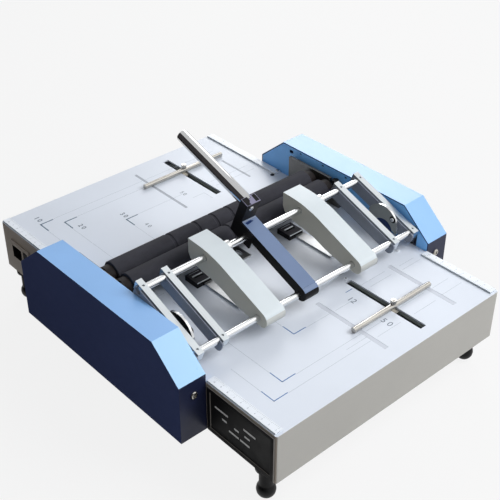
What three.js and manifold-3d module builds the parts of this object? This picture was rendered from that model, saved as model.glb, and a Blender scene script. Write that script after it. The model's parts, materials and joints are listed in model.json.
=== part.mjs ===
// Electric booklet stapler for an office counter.
//
// A folded-steel base carries two blue side covers, a pair of powered rubber rollers that
// crease the booklet, and a hand lever frame that swings two stapling heads down on anvils.
// Units are millimetres. X runs to the right along the rollers, Y to the rear, Z up.
// The origin is on the floor under the middle of the base.

import * as THREE from 'three';
import { mergeVertices } from 'three/addons/utils/BufferGeometryUtils.js';
import Module from 'manifold-3d';

const wasm = await Module();
wasm.setup();

// Shared clearances
const overrun = 1.5;
const seatGap = 0.1;
const fitGap = 0.3;

// Base: a folded box, open below, closed by a bottom plate
const baseWidth = 342;
const baseDepth = 498;
const baseHeight = 63.5;
const footHeight = 43;
const baseSheet = 2;
const baseCorner = 2.5;
const bottomSheet = 1.5;
const ventLength = 46;
const ventWidth = 4;
const ventPitch = 11;
const ventsInRow = 5;
const halfWidth = baseWidth / 2;
const halfDepth = baseDepth / 2;
const tableTop = footHeight + baseHeight;
const tableUnderside = tableTop - baseSheet;

// Feet: black rubber balls on a stem, one near each corner
const footInset = 11;
const footSetback = 25;
const footFlangeRadius = 12;
const footFlangeHeight = 4;
const footStemRadius = 8;
const footBallRadius = 10.5;
const footBallCentre = 10;

// Printed ruler strips along the sides of the table
const rulerWidth = 10;
const rulerHeight = 2.2;
const rulerInset = 1;
const rulerFrontMargin = 3.3;
const rulerEndGap = 2;

// Pivot rod at the front and carrying rod at the rear of the lever frame
const rodRadius = 4;
const pivotY = -123.5;
const pivotRise = 21.5;
const pivotZ = tableTop + pivotRise;
const rearRodSetback = 86.5;
const rearRodRise = 31.5;
const rearRodY = pivotY + rearRodSetback;
const rearRodZ = pivotZ + rearRodRise;
const rodEndGap = 2.5;
const rodReach = halfWidth - rodEndGap;
const journalRadius = 3;
const journalOverLeft = 11;
const journalOverRight = 29;
const journalReachLeft = halfWidth + journalOverLeft;
const journalReachRight = halfWidth + journalOverRight;
const collarRadius = 7;
const collarLength = 8;
const springCollarRadius = 4.9;
const springCollarLength = 3;

// Side covers: folded sheet with sloping ends
const coverWidth = 34.5;
const coverSheet = 1.5;
const coverRise = 46.5;
const coverTop = tableTop + coverRise;
const coverFront = -145.7;
const coverRear = 144.4;
const coverFlatFront = -105;
const coverFlatRear = 103.5;
const shoulderDrop = 10;
const coverShoulder = pivotZ - shoulderDrop;
const coverHoleRadius = 1.6;
const coverHoleDrop = 5;
const coverHolePitch = 40;
const coverHoleRear = 71;
const coverHoleCount = 3;
const coverNotchWidth = 6;
const coverNotchDepth = 9;
const coverNotchRear = 91;
const coverWallFoot = 5;

// Arms: four bright bars, each with a black web plate on its left side
const armSize = 8;
const armAboveRod = 5.6;
const armBelowRod = 6.4;
const outerArmGap = 6.5;
const armPairPitch = 33.5;
const outerArmX = halfWidth - outerArmGap;
const innerArmX = outerArmX - armPairPitch;
const armFrontOverhang = 6.5;
const armRearOverhang = 9;
const setScrewRadius = 1.4;
const webSheet = 2;
const webDepth = 12.5;
const webRise = 3.5;
const webFrontOverhang = 8.5;
const webRearOverhang = 6;
const webCorner = 7;
const webSmallCorner = 3;

// Stapling heads
const headWidth = 27;
const headLength = 114;
const headRise = 44;
const headWall = 2;
const leftHeadShare = -0.51527;
const rightHeadShare = 0.58397;
const leftHeadX = innerArmX * leftHeadShare;
const rightHeadX = innerArmX * rightHeadShare;
const headNoseRadius = 9.3;
const headNoseY = -5;
const headNoseZ = 0;
const driverWidth = 11;
const driverThickness = 1.2;
const driverSetback = 3;
const driverBottom = 30;

// Staple magazines, hinged on the pivot rod under the heads
const magazineWidth = 14;
const magazineHeight = 9;
const magazineReach = 115.5;
const magazineNoseZ = 16.6;
const magazineHeelY = 20;
const magazineHeelZ = -7.5;
const magazineEyeRadius = 7.5;
const stapleWidth = 11;
const stapleDepth = 6;
const noseLean = 1.5;
const noseHeight = 6;
const driveTravel = 3.5;

// Anvils and the slotted paper stop between them
const anvilWidth = 22;
const anvilFront = -20;
const anvilRear = 2;
const anvilRise = 7;
const anvilTop = tableTop + anvilRise;
const anvilSlotY = -9.5;
const anvilSlotLength = 13;
const anvilSlotWidth = 2.4;
const anvilSlotDepth = 2;
const tongueWidth = 13.5;
const tongueOffset = 6.3;
const tongueHeight = 2.5;
const tongueFront = -78;
const paperStopX = 2.5;
const paperStopWidth = 15;
const paperStopDepth = 26;
const paperStopHeight = 2;
const paperStopSlotWidth = 4;

// Stop brackets beside the outer arms
const bracketGap = 0.6;
const bracketX = outerArmX - armSize / 2 - fitGap - webSheet - bracketGap;
const bracketSheet = 3;
const bracketRoundRadius = 24;
const bracketRoundSetback = 37.5;
const bracketRoundDrop = 1;
const bracketRoundY = pivotY + bracketRoundSetback;
const bracketRoundZ = pivotZ - bracketRoundDrop;
const bracketFootSetback = 7;
const bracketFootDepth = 13.5;
const bracketFootRise = 11;
const bracketScrewShift = 14.5;
const bracketScrewRise = 10.6;
const bracketScrewRadius = 1.8;

// Lever: channel, socket block and chromed handle tube
const leverX = -11;
const leverWidth = 20;
const leverSheet = 2;
const leverTilt = 21.5;
const leverTopSetback = 5.3;
const leverTopRise = 10.5;
const leverLength = 105.1;
const leverDepth = 13.2;
const clampRadius = 9;
const clampShift = 2;
const socketLength = 12;
const socketRise = 26;
const socketEarDepth = 25;
const socketEarFront = 22;
const tubeRadius = 7.5;
const tubeWall = 1.5;
const tubeTilt = 18.8;
const tubeSetback = 13;
const tubeRise = 40;
const tubeY = rearRodY + tubeSetback;
const tubeZ = rearRodZ + tubeRise;
const tubeInSocket = 6;
const tubeLength = 114.6;

// Rollers, geared to each other, and their bearing plates
const gearModule = 1.5;
const rollerTeeth = 20;
const rollerPitch = rollerTeeth * gearModule;
const nipGap = 0.3;
const rollerRadius = (rollerPitch - nipGap) / 2;
const rollerRise = 22.5;
const rollerZ = tableTop + rollerRise;
const frontRollerY = 11.5;
const rearRollerY = frontRollerY + rollerPitch;
const bearingPlateGap = 8;
const bearingPlateX = halfWidth - bearingPlateGap;
const rubberEndGap = 13;
const rubberReach = bearingPlateX - rubberEndGap;
const rollerCoreRadius = 9;
const rollerEndRadius = 12;
const rollerEndGap = 3;
const rollerEndReach = bearingPlateX - rollerEndGap;
const shaftRadius = 5;
const shaftEndRadius = 4;
const shaftOverLeft = 29;
const shaftOverRight = 6;
const shaftReachLeft = bearingPlateX + shaftOverLeft;
const shaftReachRight = bearingPlateX + shaftOverRight;
const bearingPlateSheet = 4;
const bearingPlateFront = -8;
const bearingPlateRear = 84;
const bearingPlateRise = 36;
const bearingPlateTop = tableTop + bearingPlateRise;
const bearingShelfRise = 27.5;
const bearingShelfTop = tableTop + bearingShelfRise;
const bearingShelfRear = 10;
const bearingFootWidth = 3.2;
const bearingFootHeight = 3;
const bushRadius = 7;
const bushLength = 2.4;
const nipKnobY = 2;
const nipKnobRadius = 4.4;
const nipKnobHeight = 9;
const nipKnobFlutes = 8;

// Gear train in the left cover
const pressureAngle = 20;
const gearBacklash = 0.25;
const gearWidth = 7;
const gearOverBase = 18.5;
const gearX = -halfWidth - gearOverBase;
const idlerTeeth = 18;
const pinionTeeth = 16;
const idlerAngle = -55;
const pinionAngle = -60;
const gearHubRadius = 7;
const gearHubLength = 2;
const rootDepthShare = 1.25;
const flankShares = [0, 0.5, 1];

// Side frames inside the covers
const frameGap = 2.2;
const frameX = halfWidth + frameGap;
const frameSheet = 4;
const frameLift = 7;
const frameBottom = footHeight + frameLift;
const frameFront = -100;
const frameRear = 92;
const frameTopRise = 33.5;
const frameTop = tableTop + frameTopRise;
const frameMiddleRise = 5.5;
const frameMiddle = tableTop + frameMiddleRise;
const frameBossRadius = 5;
const frameBossLength = 3;
const framePadFront = -90;
const framePadRear = 86;
const framePadLift = 9;
const framePadBottom = footHeight + framePadLift;
const framePadDrop = 10.5;
const framePadTop = tableTop - framePadDrop;
const studRadius = 4;

// Gear motor inside the base
const motorDrop = 7.5;
const gearboxRadius = 25;
const gearboxLength = 20;
const motorRadius = 21;
const motorLength = 56;
const motorCapRadius = 16;
const motorCapLength = 5;
const pinionShaftRadius = 3;
const pinionShaftInGearbox = 12;

// Fold knife below the nip, its carrier and the solenoid that lifts it
const knifeY = (frontRollerY + rearRollerY) / 2;
const knifeEndGap = 22;
const knifeReach = halfWidth - knifeEndGap;
const knifeThickness = 1;
const knifeDrop = 0.7;
const knifeTop = tableTop - knifeDrop;
const knifeSlotWidth = 4;
const carrierDrop = 20.5;
const carrierTop = tableTop - carrierDrop;
const carrierHeight = 10;
const carrierDepth = 10;
const carrierEndGap = 15;
const carrierReach = halfWidth - carrierEndGap;
const plungerRadius = 5;
const plungerLift = 8;
const plungerBottom = footHeight + plungerLift;
const solenoidWidth = 40;
const solenoidDepth = 32;
const solenoidHeight = 29;
const solenoidTop = footHeight + solenoidHeight;
const solenoidFloor = 4;
const guideWall = 3;
const guideDrop = 3;
const guideTop = tableTop - guideDrop;

// Back gauges: a round bar that slides along a slot, held by a carriage bolt and a thumb nut
const gaugeSlotWidth = 9.2;
const gaugeSlotCorner = 1;
const gaugeBarRadius = 3.3;
const gaugeGuideDepth = 5;
const gaugeBoltRadius = 1.5;
const gaugeBoltHeadRadius = 7;
const gaugeBoltHeadHeight = 3;
const thumbNutRadius = 3.4;
const thumbNutHeight = 5;
const thumbNutFlutes = 8;
const boltAboveNut = 0.5;
const frontSlotMargin = 15;
const frontGaugeSetback = 58.5;
const frontBarMargin = 51;
const frontGauge = {
  x: 58.8, left: -5, right: halfWidth - frontBarMargin,
  slotFront: frontSlotMargin - halfDepth, slotRear: -123, y: frontGaugeSetback - halfDepth,
};
const rearSlotMargin = 16;
const rearGaugeSetback = 56.3;
const rearBarMargin = 32;
const rearGauge = {
  x: 73.8, left: 8, right: halfWidth - rearBarMargin,
  slotFront: 121, slotRear: halfDepth - rearSlotMargin, y: halfDepth - rearGaugeSetback,
};

// Shallow grooves pressed into the table beside the gauges
const grooveDepth = 0.7;
const frontGrooveMargin = 18;
const rearGrooveMargin = 19;
const frontGrooveInset = 55.2;
const rearGrooveInset = 39;
const grooves = [
  { x: 3.4, width: 5.4, front: frontGrooveMargin - halfDepth, rear: -128 },
  { x: halfWidth - frontGrooveInset, width: 5.6, front: frontGrooveMargin - halfDepth, rear: -134 },
  { x: 20.6, width: 3.6, front: 121, rear: halfDepth - rearGrooveMargin },
  { x: halfWidth - rearGrooveInset, width: 3, front: 125, rear: 183 },
];

// Plate on the left side of the base, front end
const panelMargin = 2;
const panelFront = panelMargin - halfDepth;
const panelEndGap = 2.8;
const panelRear = coverFront - panelEndGap;
const panelLift = 2.5;
const panelBottom = footHeight + panelLift;
const panelDrop = 2;
const panelTop = tableTop - panelDrop;
const panelThickness = 2.2;
const panelBorder = 5;
const panelRecess = 1.2;

// Mains inlet with rocker switch, left side of the base, rear end
const inletSetback = 40.5;
const inletDrop = 30.5;
const inletY = halfDepth - inletSetback;
const inletZ = tableTop - inletDrop;
const inletWidth = 41;
const inletHeight = 30;
const inletBezel = 1.8;
const inletBodyWidth = 36;
const inletBodyHeight = 25;
const inletBodyDepth = 24;
const inletSocketShift = 7.5;
const inletSocketY = inletY + inletSocketShift;
const inletSocketWidth = 20;
const inletSocketHeight = 17;
const inletSocketDepth = 14;
const inletPinWidth = 2;
const inletPinHeight = 4;
const inletPinLength = 10;
const inletPinPitch = 5;
const inletPinRise = 2.5;
const rockerShift = 11.5;
const rockerY = inletY - rockerShift;
const rockerWidth = 9;
const rockerHeight = 17;
const rockerTilt = 9;
const rockerDepth = 7;
const rockerDish = 1.6;
const rockerPivotDepth = 3;
const rockerPocketDepth = 11;

// Return spring round the right end of the pivot rod
const springWireRadius = 0.55;
const springRadius = 4.2;
const springTurns = 6;
const springGap = 12;
const springLength = 13.2;
const springStart = halfWidth + springGap;
const springEnd = springStart + springLength;
const springStepsPerTurn = 8;
const springWireSides = 5;

// Facets
const finePlan = 24;
const roundPlan = 16;
const smallPlan = 10;
const arcSteps = 4;

// Derived places
const coverInner = halfWidth + fitGap;
const coverOuter = halfWidth + coverWidth;
const armTilt = Math.atan2(rearRodZ - pivotZ, rearRodY - pivotY);
const armSpan = Math.hypot(rearRodZ - pivotZ, rearRodY - pivotY);
const leverDirection = THREE.MathUtils.degToRad(leverTilt);
const tubeDirection = THREE.MathUtils.degToRad(tubeTilt);
const gearRadius = (teeth) => teeth * gearModule / 2;

// Turning geometry into solids and back, to join and cut
function toSolid(geometry) {
  const plain = new THREE.BufferGeometry();
  plain.setAttribute('position', geometry.getAttribute('position').clone());
  if (geometry.index) plain.setIndex(geometry.index.clone());
  const merged = mergeVertices(plain);
  return new wasm.Manifold(new wasm.Mesh({
    numProp: 3,
    vertProperties: new Float32Array(merged.getAttribute('position').array),
    triVerts: new Uint32Array(merged.index.array),
  }));
}

function toGeometry(solid) {
  const mesh = solid.getMesh();
  const geometry = new THREE.BufferGeometry();
  geometry.setAttribute('position', new THREE.BufferAttribute(mesh.vertProperties, 3));
  geometry.setIndex(new THREE.BufferAttribute(mesh.triVerts, 1));
  return geometry;
}

function join(...pieces) {
  return toGeometry(pieces.map(toSolid).reduce((all, piece) => all.add(piece)));
}

function cut(body, ...tools) {
  return toGeometry(tools.map(toSolid).reduce((left, tool) => left.subtract(tool), toSolid(body)));
}

function common(...pieces) {
  return toGeometry(pieces.map(toSolid).reduce((all, piece) => all.intersect(piece)));
}

// Basic forms
function block(x0, x1, y0, y1, z0, z1) {
  const box = new THREE.BoxGeometry(x1 - x0, y1 - y0, z1 - z0);
  return box.translate((x0 + x1) / 2, (y0 + y1) / 2, (z0 + z1) / 2);
}

function polygon(points) {
  return new THREE.Shape(points.map(([a, b]) => new THREE.Vector2(a, b)));
}

function pushed(shape, depth) {
  return new THREE.ExtrudeGeometry(shape, { depth, bevelEnabled: false, curveSegments: arcSteps });
}

// A shape drawn in (y, z) and pushed from x0 to x1
function alongX(shape, x0, x1) {
  const turn = new THREE.Matrix4().makeBasis(
    new THREE.Vector3(0, 1, 0), new THREE.Vector3(0, 0, 1), new THREE.Vector3(1, 0, 0));
  return pushed(shape, x1 - x0).applyMatrix4(turn).translate(x0, 0, 0);
}

// A shape drawn in (x, y) and pushed from z0 to z1
function alongZ(shape, z0, z1) {
  return pushed(shape, z1 - z0).translate(0, 0, z0);
}

function barX(radius, x0, x1, y, z, sides) {
  const bar = new THREE.CylinderGeometry(radius, radius, x1 - x0, sides);
  return bar.rotateZ(Math.PI / 2).translate((x0 + x1) / 2, y, z);
}

function barZ(radius, x, y, z0, z1, sides) {
  const bar = new THREE.CylinderGeometry(radius, radius, z1 - z0, sides);
  return bar.rotateX(Math.PI / 2).translate(x, y, (z0 + z1) / 2);
}

// A rectangle with round corners, drawn about its own middle
function roundedRectangle(x0, x1, y0, y1, radius) {
  const shape = new THREE.Shape();
  shape.absarc(x1 - radius, y1 - radius, radius, 0, Math.PI / 2);
  shape.absarc(x0 + radius, y1 - radius, radius, Math.PI / 2, Math.PI);
  shape.absarc(x0 + radius, y0 + radius, radius, Math.PI, Math.PI * 1.5);
  shape.absarc(x1 - radius, y0 + radius, radius, Math.PI * 1.5, Math.PI * 2);
  return shape;
}

// A convex outline moved inwards by a wall thickness
function inset(points, wall) {
  const edges = points.map((point, i) => {
    const next = points[(i + 1) % points.length];
    const run = new THREE.Vector2(next[0] - point[0], next[1] - point[1]).normalize();
    return { x: point[0] - run.y * wall, y: point[1] + run.x * wall, run };
  });
  return edges.map((edge, i) => {
    const last = edges[(i + edges.length - 1) % edges.length];
    const turn = last.run.cross(edge.run);
    const along = ((edge.x - last.x) * edge.run.y - (edge.y - last.y) * edge.run.x) / turn;
    return [last.x + last.run.x * along, last.y + last.run.y * along];
  });
}

// Knurled knob standing on its foot, axis up
function flutedKnob(radius, height, flutes) {
  const fluteRadius = radius * Math.PI / flutes / 2;
  const grips = Array.from({ length: flutes }, (_, i) => {
    const angle = i * 2 * Math.PI / flutes;
    return barZ(fluteRadius, radius * Math.cos(angle), radius * Math.sin(angle), -overrun, height + overrun, 6);
  });
  return cut(barZ(radius, 0, 0, 0, height, roundPlan), ...grips);
}

// Base pieces
function gaugeSlot(gauge) {
  const half = gaugeSlotWidth / 2;
  return alongZ(
    roundedRectangle(gauge.x - half, gauge.x + half, gauge.slotFront, gauge.slotRear, gaugeSlotCorner),
    tableUnderside - overrun, tableTop + overrun);
}

function grooveCutter({ x, width, front, rear }) {
  return block(x - width / 2, x + width / 2, front, rear, tableTop - grooveDepth, tableTop + overrun);
}

function makeBaseShell() {
  const outer = alongZ(roundedRectangle(-halfWidth, halfWidth, -halfDepth, halfDepth, baseCorner), footHeight, tableTop);
  const inner = block(
    baseSheet - halfWidth, halfWidth - baseSheet,
    baseSheet - halfDepth, halfDepth - baseSheet,
    footHeight - overrun, tableUnderside);
  const knifeSlot = block(
    -knifeReach - overrun, knifeReach + overrun,
    knifeY - knifeSlotWidth / 2, knifeY + knifeSlotWidth / 2,
    tableUnderside - overrun, tableTop + overrun);
  const sideLeft = -halfWidth - overrun;
  const sideRight = baseSheet - halfWidth + overrun;
  const shaftHole = barX(pinionShaftRadius * 2, sideLeft, sideRight, pinionY, pinionZ, roundPlan);
  const inletHole = block(
    sideLeft, sideRight,
    inletY - inletBodyWidth / 2 - fitGap, inletY + inletBodyWidth / 2 + fitGap,
    inletZ - inletBodyHeight / 2 - fitGap, inletZ + inletBodyHeight / 2 + fitGap);
  return cut(
    outer, inner, knifeSlot, shaftHole, inletHole,
    gaugeSlot(frontGauge), gaugeSlot(rearGauge), ...grooves.map(grooveCutter));
}

// Upright channel that guides one end of the knife carrier
function knifeGuide(side) {
  const inner = carrierReach - carrierDepth;
  const outer = carrierReach + fitGap + guideWall;
  const halfGroove = carrierDepth / 2 + fitGap;
  const bottom = footHeight + bottomSheet - seatGap;
  const post = block(inner, outer, knifeY - halfGroove - guideWall, knifeY + halfGroove + guideWall, bottom, guideTop);
  const groove = block(
    inner - overrun, carrierReach + fitGap, knifeY - halfGroove, knifeY + halfGroove,
    footHeight + bottomSheet + guideWall, guideTop + overrun);
  const guide = cut(post, groove);
  return side < 0 ? guide.rotateZ(Math.PI).translate(0, 2 * knifeY, 0) : guide;
}

function makeBottomPlate() {
  const gap = baseSheet + fitGap;
  const plate = alongZ(
    roundedRectangle(gap - halfWidth, halfWidth - gap, gap - halfDepth, halfDepth - gap, baseCorner),
    footHeight, footHeight + bottomSheet);
  const vents = [-1, 1].flatMap((row) => Array.from({ length: ventsInRow }, (_, i) => {
    const y = knifeY + (i - (ventsInRow - 1) / 2) * ventPitch;
    const x = row * (solenoidWidth + ventLength);
    return block(
      x - ventLength / 2, x + ventLength / 2, y - ventWidth / 2, y + ventWidth / 2,
      footHeight - overrun, footHeight + bottomSheet + overrun);
  }));
  return join(cut(plate, ...vents), knifeGuide(-1), knifeGuide(1));
}

function makeFoot() {
  const ballFoot = Math.sqrt(footBallRadius ** 2 - footBallCentre ** 2);
  const ballNeck = Math.sqrt(footBallRadius ** 2 - footStemRadius ** 2);
  const startAngle = Math.atan2(-footBallCentre, ballFoot);
  const endAngle = Math.atan2(ballNeck, footStemRadius);
  const flangeZ = footHeight - footFlangeHeight - seatGap;
  const ball = Array.from({ length: arcSteps + 1 }, (_, i) => {
    const angle = startAngle + (endAngle - startAngle) * i / arcSteps;
    return new THREE.Vector2(footBallRadius * Math.cos(angle), footBallCentre + footBallRadius * Math.sin(angle));
  });
  ball[0].y = 0;
  const profile = [
    new THREE.Vector2(0, 0), ...ball,
    new THREE.Vector2(footStemRadius, flangeZ),
    new THREE.Vector2(footFlangeRadius, flangeZ),
    new THREE.Vector2(footFlangeRadius, footHeight - seatGap),
    new THREE.Vector2(0, footHeight - seatGap),
  ];
  return new THREE.LatheGeometry(profile, roundPlan).rotateX(Math.PI / 2);
}

function makeRuler(length) {
  return block(0, rulerWidth, 0, length, 0, rulerHeight);
}

// Side covers and frames are made for the right side; the left one is the same turned over in X
function mirrored(geometry) {
  const copy = geometry.clone();
  const places = copy.getAttribute('position');
  for (let i = 0; i < places.count; i += 1) places.setX(i, -places.getX(i));
  const index = copy.index.array;
  for (let i = 0; i < index.length; i += 3) {
    [index[i], index[i + 1]] = [index[i + 1], index[i]];
  }
  return copy;
}

const coverOutline = [
  [coverFront, footHeight], [coverRear, footHeight], [coverRear, coverShoulder],
  [coverFlatRear, coverTop], [coverFlatFront, coverTop], [coverFront, coverShoulder],
];

// Slot in the cover's inner wall, open below, that lets it drop over a shaft end
function shaftSlot(y, z, radius) {
  const wallFoot = tableTop - coverWallFoot - overrun;
  const x0 = coverInner - overrun;
  const x1 = coverInner + coverSheet + overrun;
  return join(barX(radius, x0, x1, y, z, roundPlan), block(x0, x1, y - radius, y + radius, wallFoot, z));
}

function makeCover() {
  const shell = alongX(polygon(coverOutline), coverInner, coverOuter);
  const insideTop = inset(coverOutline, coverSheet);
  const hollow = insideTop.map(([y, z]) => [y, z > coverShoulder / 2 ? z : footHeight - overrun]);
  const inside = alongX(polygon(hollow), coverInner + coverSheet, coverOuter - coverSheet);
  const window = block(
    coverInner - overrun, coverInner + coverSheet + overrun,
    coverFront + coverSheet, coverRear - coverSheet, footHeight - overrun, tableTop - coverWallFoot);
  const x0 = coverInner - overrun;
  const x1 = coverInner + coverSheet + overrun;
  const holes = Array.from({ length: coverHoleCount }, (_, i) =>
    barX(coverHoleRadius, x0, x1, coverHoleRear - i * coverHolePitch, coverTop - coverHoleDrop, smallPlan));
  const notch = block(
    x0, x1, coverNotchRear - coverNotchWidth, coverNotchRear,
    coverTop - coverSheet - coverNotchDepth, coverTop - coverSheet - coverNotchDepth / 2);
  return cut(
    shell, inside, window, notch, ...holes,
    shaftSlot(pivotY, pivotZ, journalRadius + overrun),
    shaftSlot(frontRollerY, rollerZ, shaftRadius + overrun),
    shaftSlot(rearRollerY, rollerZ, shaftRadius + overrun));
}

function makeSideFrame() {
  const plate = alongX(polygon([
    [frameFront, frameBottom], [frameRear, frameBottom], [frameRear, frameMiddle],
    [frameRear - frameSheet * 2, frameTop], [frontRollerY - bushRadius * 2, frameTop],
    [frontRollerY - bushRadius * 4, frameMiddle], [pivotY + frameBossRadius * 3, frameMiddle],
    [pivotY, pivotZ + frameBossRadius], [pivotY - frameBossRadius, pivotZ],
  ]), frameX, frameX + frameSheet);
  const pad = block(halfWidth + seatGap, frameX + overrun, framePadFront, framePadRear, framePadBottom, framePadTop);
  const boss = barX(frameBossRadius, frameX, frameX + frameSheet + frameBossLength, pivotY, pivotZ, roundPlan);
  const x0 = halfWidth - overrun;
  const x1 = frameX + frameSheet + frameBossLength + overrun;
  return cut(
    join(plate, pad, boss),
    barX(journalRadius + fitGap, x0, x1, pivotY, pivotZ, roundPlan),
    barX(shaftRadius + overrun, x0, x1, frontRollerY, rollerZ, roundPlan),
    barX(shaftRadius + overrun, x0, x1, rearRollerY, rollerZ, roundPlan));
}

// The left frame also carries the idler on a stud and lets the motor shaft through
function makeLeftFrame() {
  const x0 = -frameX - frameSheet - overrun;
  const stud = barX(studRadius, gearX - gearHubLength, overrun - frameX - frameSheet, idlerY, idlerZ, roundPlan);
  const shaftHole = barX(pinionShaftRadius * 2, x0, overrun - halfWidth, pinionY, pinionZ, roundPlan);
  return join(cut(mirrored(makeSideFrame()), shaftHole), stud);
}

function makeBearingPlate() {
  const outline = polygon([
    [bearingPlateFront, tableTop + seatGap], [bearingPlateRear, tableTop + seatGap],
    [bearingPlateRear, bearingPlateTop], [bearingShelfRear, bearingPlateTop],
    [bearingShelfRear, bearingShelfTop], [bearingPlateFront, bearingShelfTop],
  ]);
  const plate = alongX(outline, bearingPlateX, bearingPlateX + bearingPlateSheet);
  const foot = block(
    bearingPlateX + bearingPlateSheet - overrun, bearingPlateX + bearingPlateSheet + bearingFootWidth,
    bearingPlateFront, bearingPlateRear, tableTop + seatGap, tableTop + bearingFootHeight);
  const bushes = [frontRollerY, rearRollerY].map((y) =>
    barX(bushRadius, bearingPlateX - bushLength, bearingPlateX + overrun, y, rollerZ, roundPlan));
  const bores = [frontRollerY, rearRollerY].map((y) =>
    barX(shaftRadius + fitGap, bearingPlateX - bushLength - overrun, bearingPlateX + bearingPlateSheet + overrun,
      y, rollerZ, roundPlan));
  return cut(join(plate, foot, ...bushes), ...bores);
}

// The bracket's round plate ends along the lower edge of the arm's web; a foot carries it
function makeStopBracket() {
  const inner = bracketX - bracketSheet;
  const round = barX(bracketRoundRadius, inner, bracketX, bracketRoundY, bracketRoundZ, finePlan);
  const below = block(inner - overrun, bracketX + overrun, -armSpan, armSpan * 2, -armSpan, -webDepth)
    .rotateX(armTilt).translate(0, pivotY, pivotZ);
  const footFront = bracketRoundY + bracketFootSetback;
  const foot = block(
    inner, bracketX, footFront, footFront + bracketFootDepth, tableTop + seatGap, bracketRoundZ + bracketFootRise);
  const screwHole = barX(
    bracketScrewRadius, inner - overrun, bracketX + overrun,
    bracketRoundY - bracketScrewShift, bracketRoundZ + bracketScrewRise, smallPlan);
  return cut(join(cut(round, below), foot), screwHole);
}

// The anvil is made about its own x; its tongue guides the paper under the head
function makeAnvil() {
  const half = anvilWidth / 2;
  const lift = tableTop + seatGap;
  const stand = block(-half, half, anvilFront, anvilRear, lift, anvilTop);
  const tongue = block(
    tongueOffset - tongueWidth / 2, tongueOffset + tongueWidth / 2,
    tongueFront, anvilFront + overrun, lift, tableTop + tongueHeight);
  const crimp = block(
    -anvilSlotLength / 2, anvilSlotLength / 2,
    anvilSlotY - anvilSlotWidth / 2, anvilSlotY + anvilSlotWidth / 2,
    anvilTop - anvilSlotDepth, anvilTop + overrun);
  return cut(join(stand, tongue), crimp);
}

function makePaperStop() {
  const half = paperStopWidth / 2;
  const lift = tableTop + seatGap;
  const plate = block(-half, half, -paperStopDepth / 2, paperStopDepth / 2, lift, tableTop + paperStopHeight);
  const slot = alongZ(
    roundedRectangle(
      -paperStopSlotWidth / 2, paperStopSlotWidth / 2,
      paperStopWidth / 2 - paperStopDepth / 2, paperStopDepth / 2 - paperStopWidth / 2, paperStopSlotWidth / 2),
    lift - overrun, tableTop + paperStopHeight + overrun);
  return cut(plate, slot);
}

function makeSidePanel() {
  const face = -halfWidth - seatGap;
  const plate = block(face - panelThickness, face, panelFront, panelRear, panelBottom, panelTop);
  const recess = block(
    face - panelThickness - overrun, face - panelThickness + panelRecess,
    panelFront + panelBorder, panelRear - panelBorder, panelBottom + panelBorder, panelTop - panelBorder);
  return cut(plate, recess);
}

function makeMainsInlet() {
  const face = -halfWidth - seatGap - inletBezel;
  const bezel = block(
    face, -halfWidth - seatGap, inletY - inletWidth / 2, inletY + inletWidth / 2,
    inletZ - inletHeight / 2, inletZ + inletHeight / 2);
  const body = block(
    -halfWidth - seatGap - inletBezel / 2, -halfWidth + inletBodyDepth,
    inletY - inletBodyWidth / 2, inletY + inletBodyWidth / 2,
    inletZ - inletBodyHeight / 2, inletZ + inletBodyHeight / 2);
  const socket = block(
    face - overrun, face + inletSocketDepth,
    inletSocketY - inletSocketWidth / 2, inletSocketY + inletSocketWidth / 2,
    inletZ - inletSocketHeight / 2, inletZ + inletSocketHeight / 2);
  const pocket = block(
    face - overrun, face + rockerPocketDepth,
    rockerY - rockerWidth / 2 - fitGap, rockerY + rockerWidth / 2 + fitGap,
    inletZ - rockerHeight / 2 - overrun, inletZ + rockerHeight / 2 + overrun);
  const pins = [-1, 0, 1].map((step) => {
    const y = inletSocketY + step * inletPinPitch;
    const z = inletZ + (step === 0 ? inletPinRise : -inletPinRise);
    return block(
      face + inletSocketDepth - inletPinLength, face + inletSocketDepth + overrun,
      y - inletPinWidth / 2, y + inletPinWidth / 2, z - inletPinHeight / 2, z + inletPinHeight / 2);
  });
  return join(cut(join(bezel, body), socket, pocket), ...pins);
}

// Rocker drawn about its pivot in (x, z), pressed face outwards to the left
function makeRocker() {
  const half = rockerHeight / 2;
  const shape = polygon([
    [-rockerPivotDepth, 0], [-rockerPivotDepth - rockerDish, half], [0, half],
    [rockerDepth - rockerPivotDepth, half / 2], [rockerDepth - rockerPivotDepth, -half / 2],
    [0, -half], [-rockerPivotDepth - rockerDish, -half],
  ]);
  const body = pushed(shape, rockerWidth).rotateX(Math.PI / 2).translate(0, rockerWidth / 2, 0);
  return toGeometry(toSolid(body)).rotateY(THREE.MathUtils.degToRad(rockerTilt));
}

// Lever frame pieces
function makeFrontRod() {
  return join(
    barX(rodRadius, -rodReach, rodReach, 0, 0, roundPlan),
    barX(journalRadius, -journalReachLeft, -rodReach + overrun, 0, 0, roundPlan),
    barX(journalRadius, rodReach - overrun, journalReachRight, 0, 0, roundPlan),
    barX(springCollarRadius, journalReachRight - springCollarLength, journalReachRight, 0, 0, roundPlan));
}

function makeRearRod() {
  const collars = [leftHeadX, rightHeadX].map((x) => {
    const start = x + headWidth / 2 + fitGap;
    return barX(collarRadius, start, start + collarLength, 0, 0, roundPlan);
  });
  return join(barX(rodRadius, -rodReach, rodReach, 0, 0, roundPlan), ...collars);
}

// Arms and webs lie along +Y from the pivot before they are tilted
function makeArm() {
  const half = armSize / 2;
  const bar = block(-half, half, -armFrontOverhang, armSpan + armRearOverhang, -armBelowRod, armAboveRod);
  const bores = [0, armSpan].map((y) => barX(rodRadius + fitGap, -armSize, armSize, y, 0, roundPlan));
  const screws = [0, armSpan].map((y) => barZ(setScrewRadius, 0, y, 0, armSize, smallPlan));
  return cut(bar, ...bores, ...screws);
}

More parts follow.
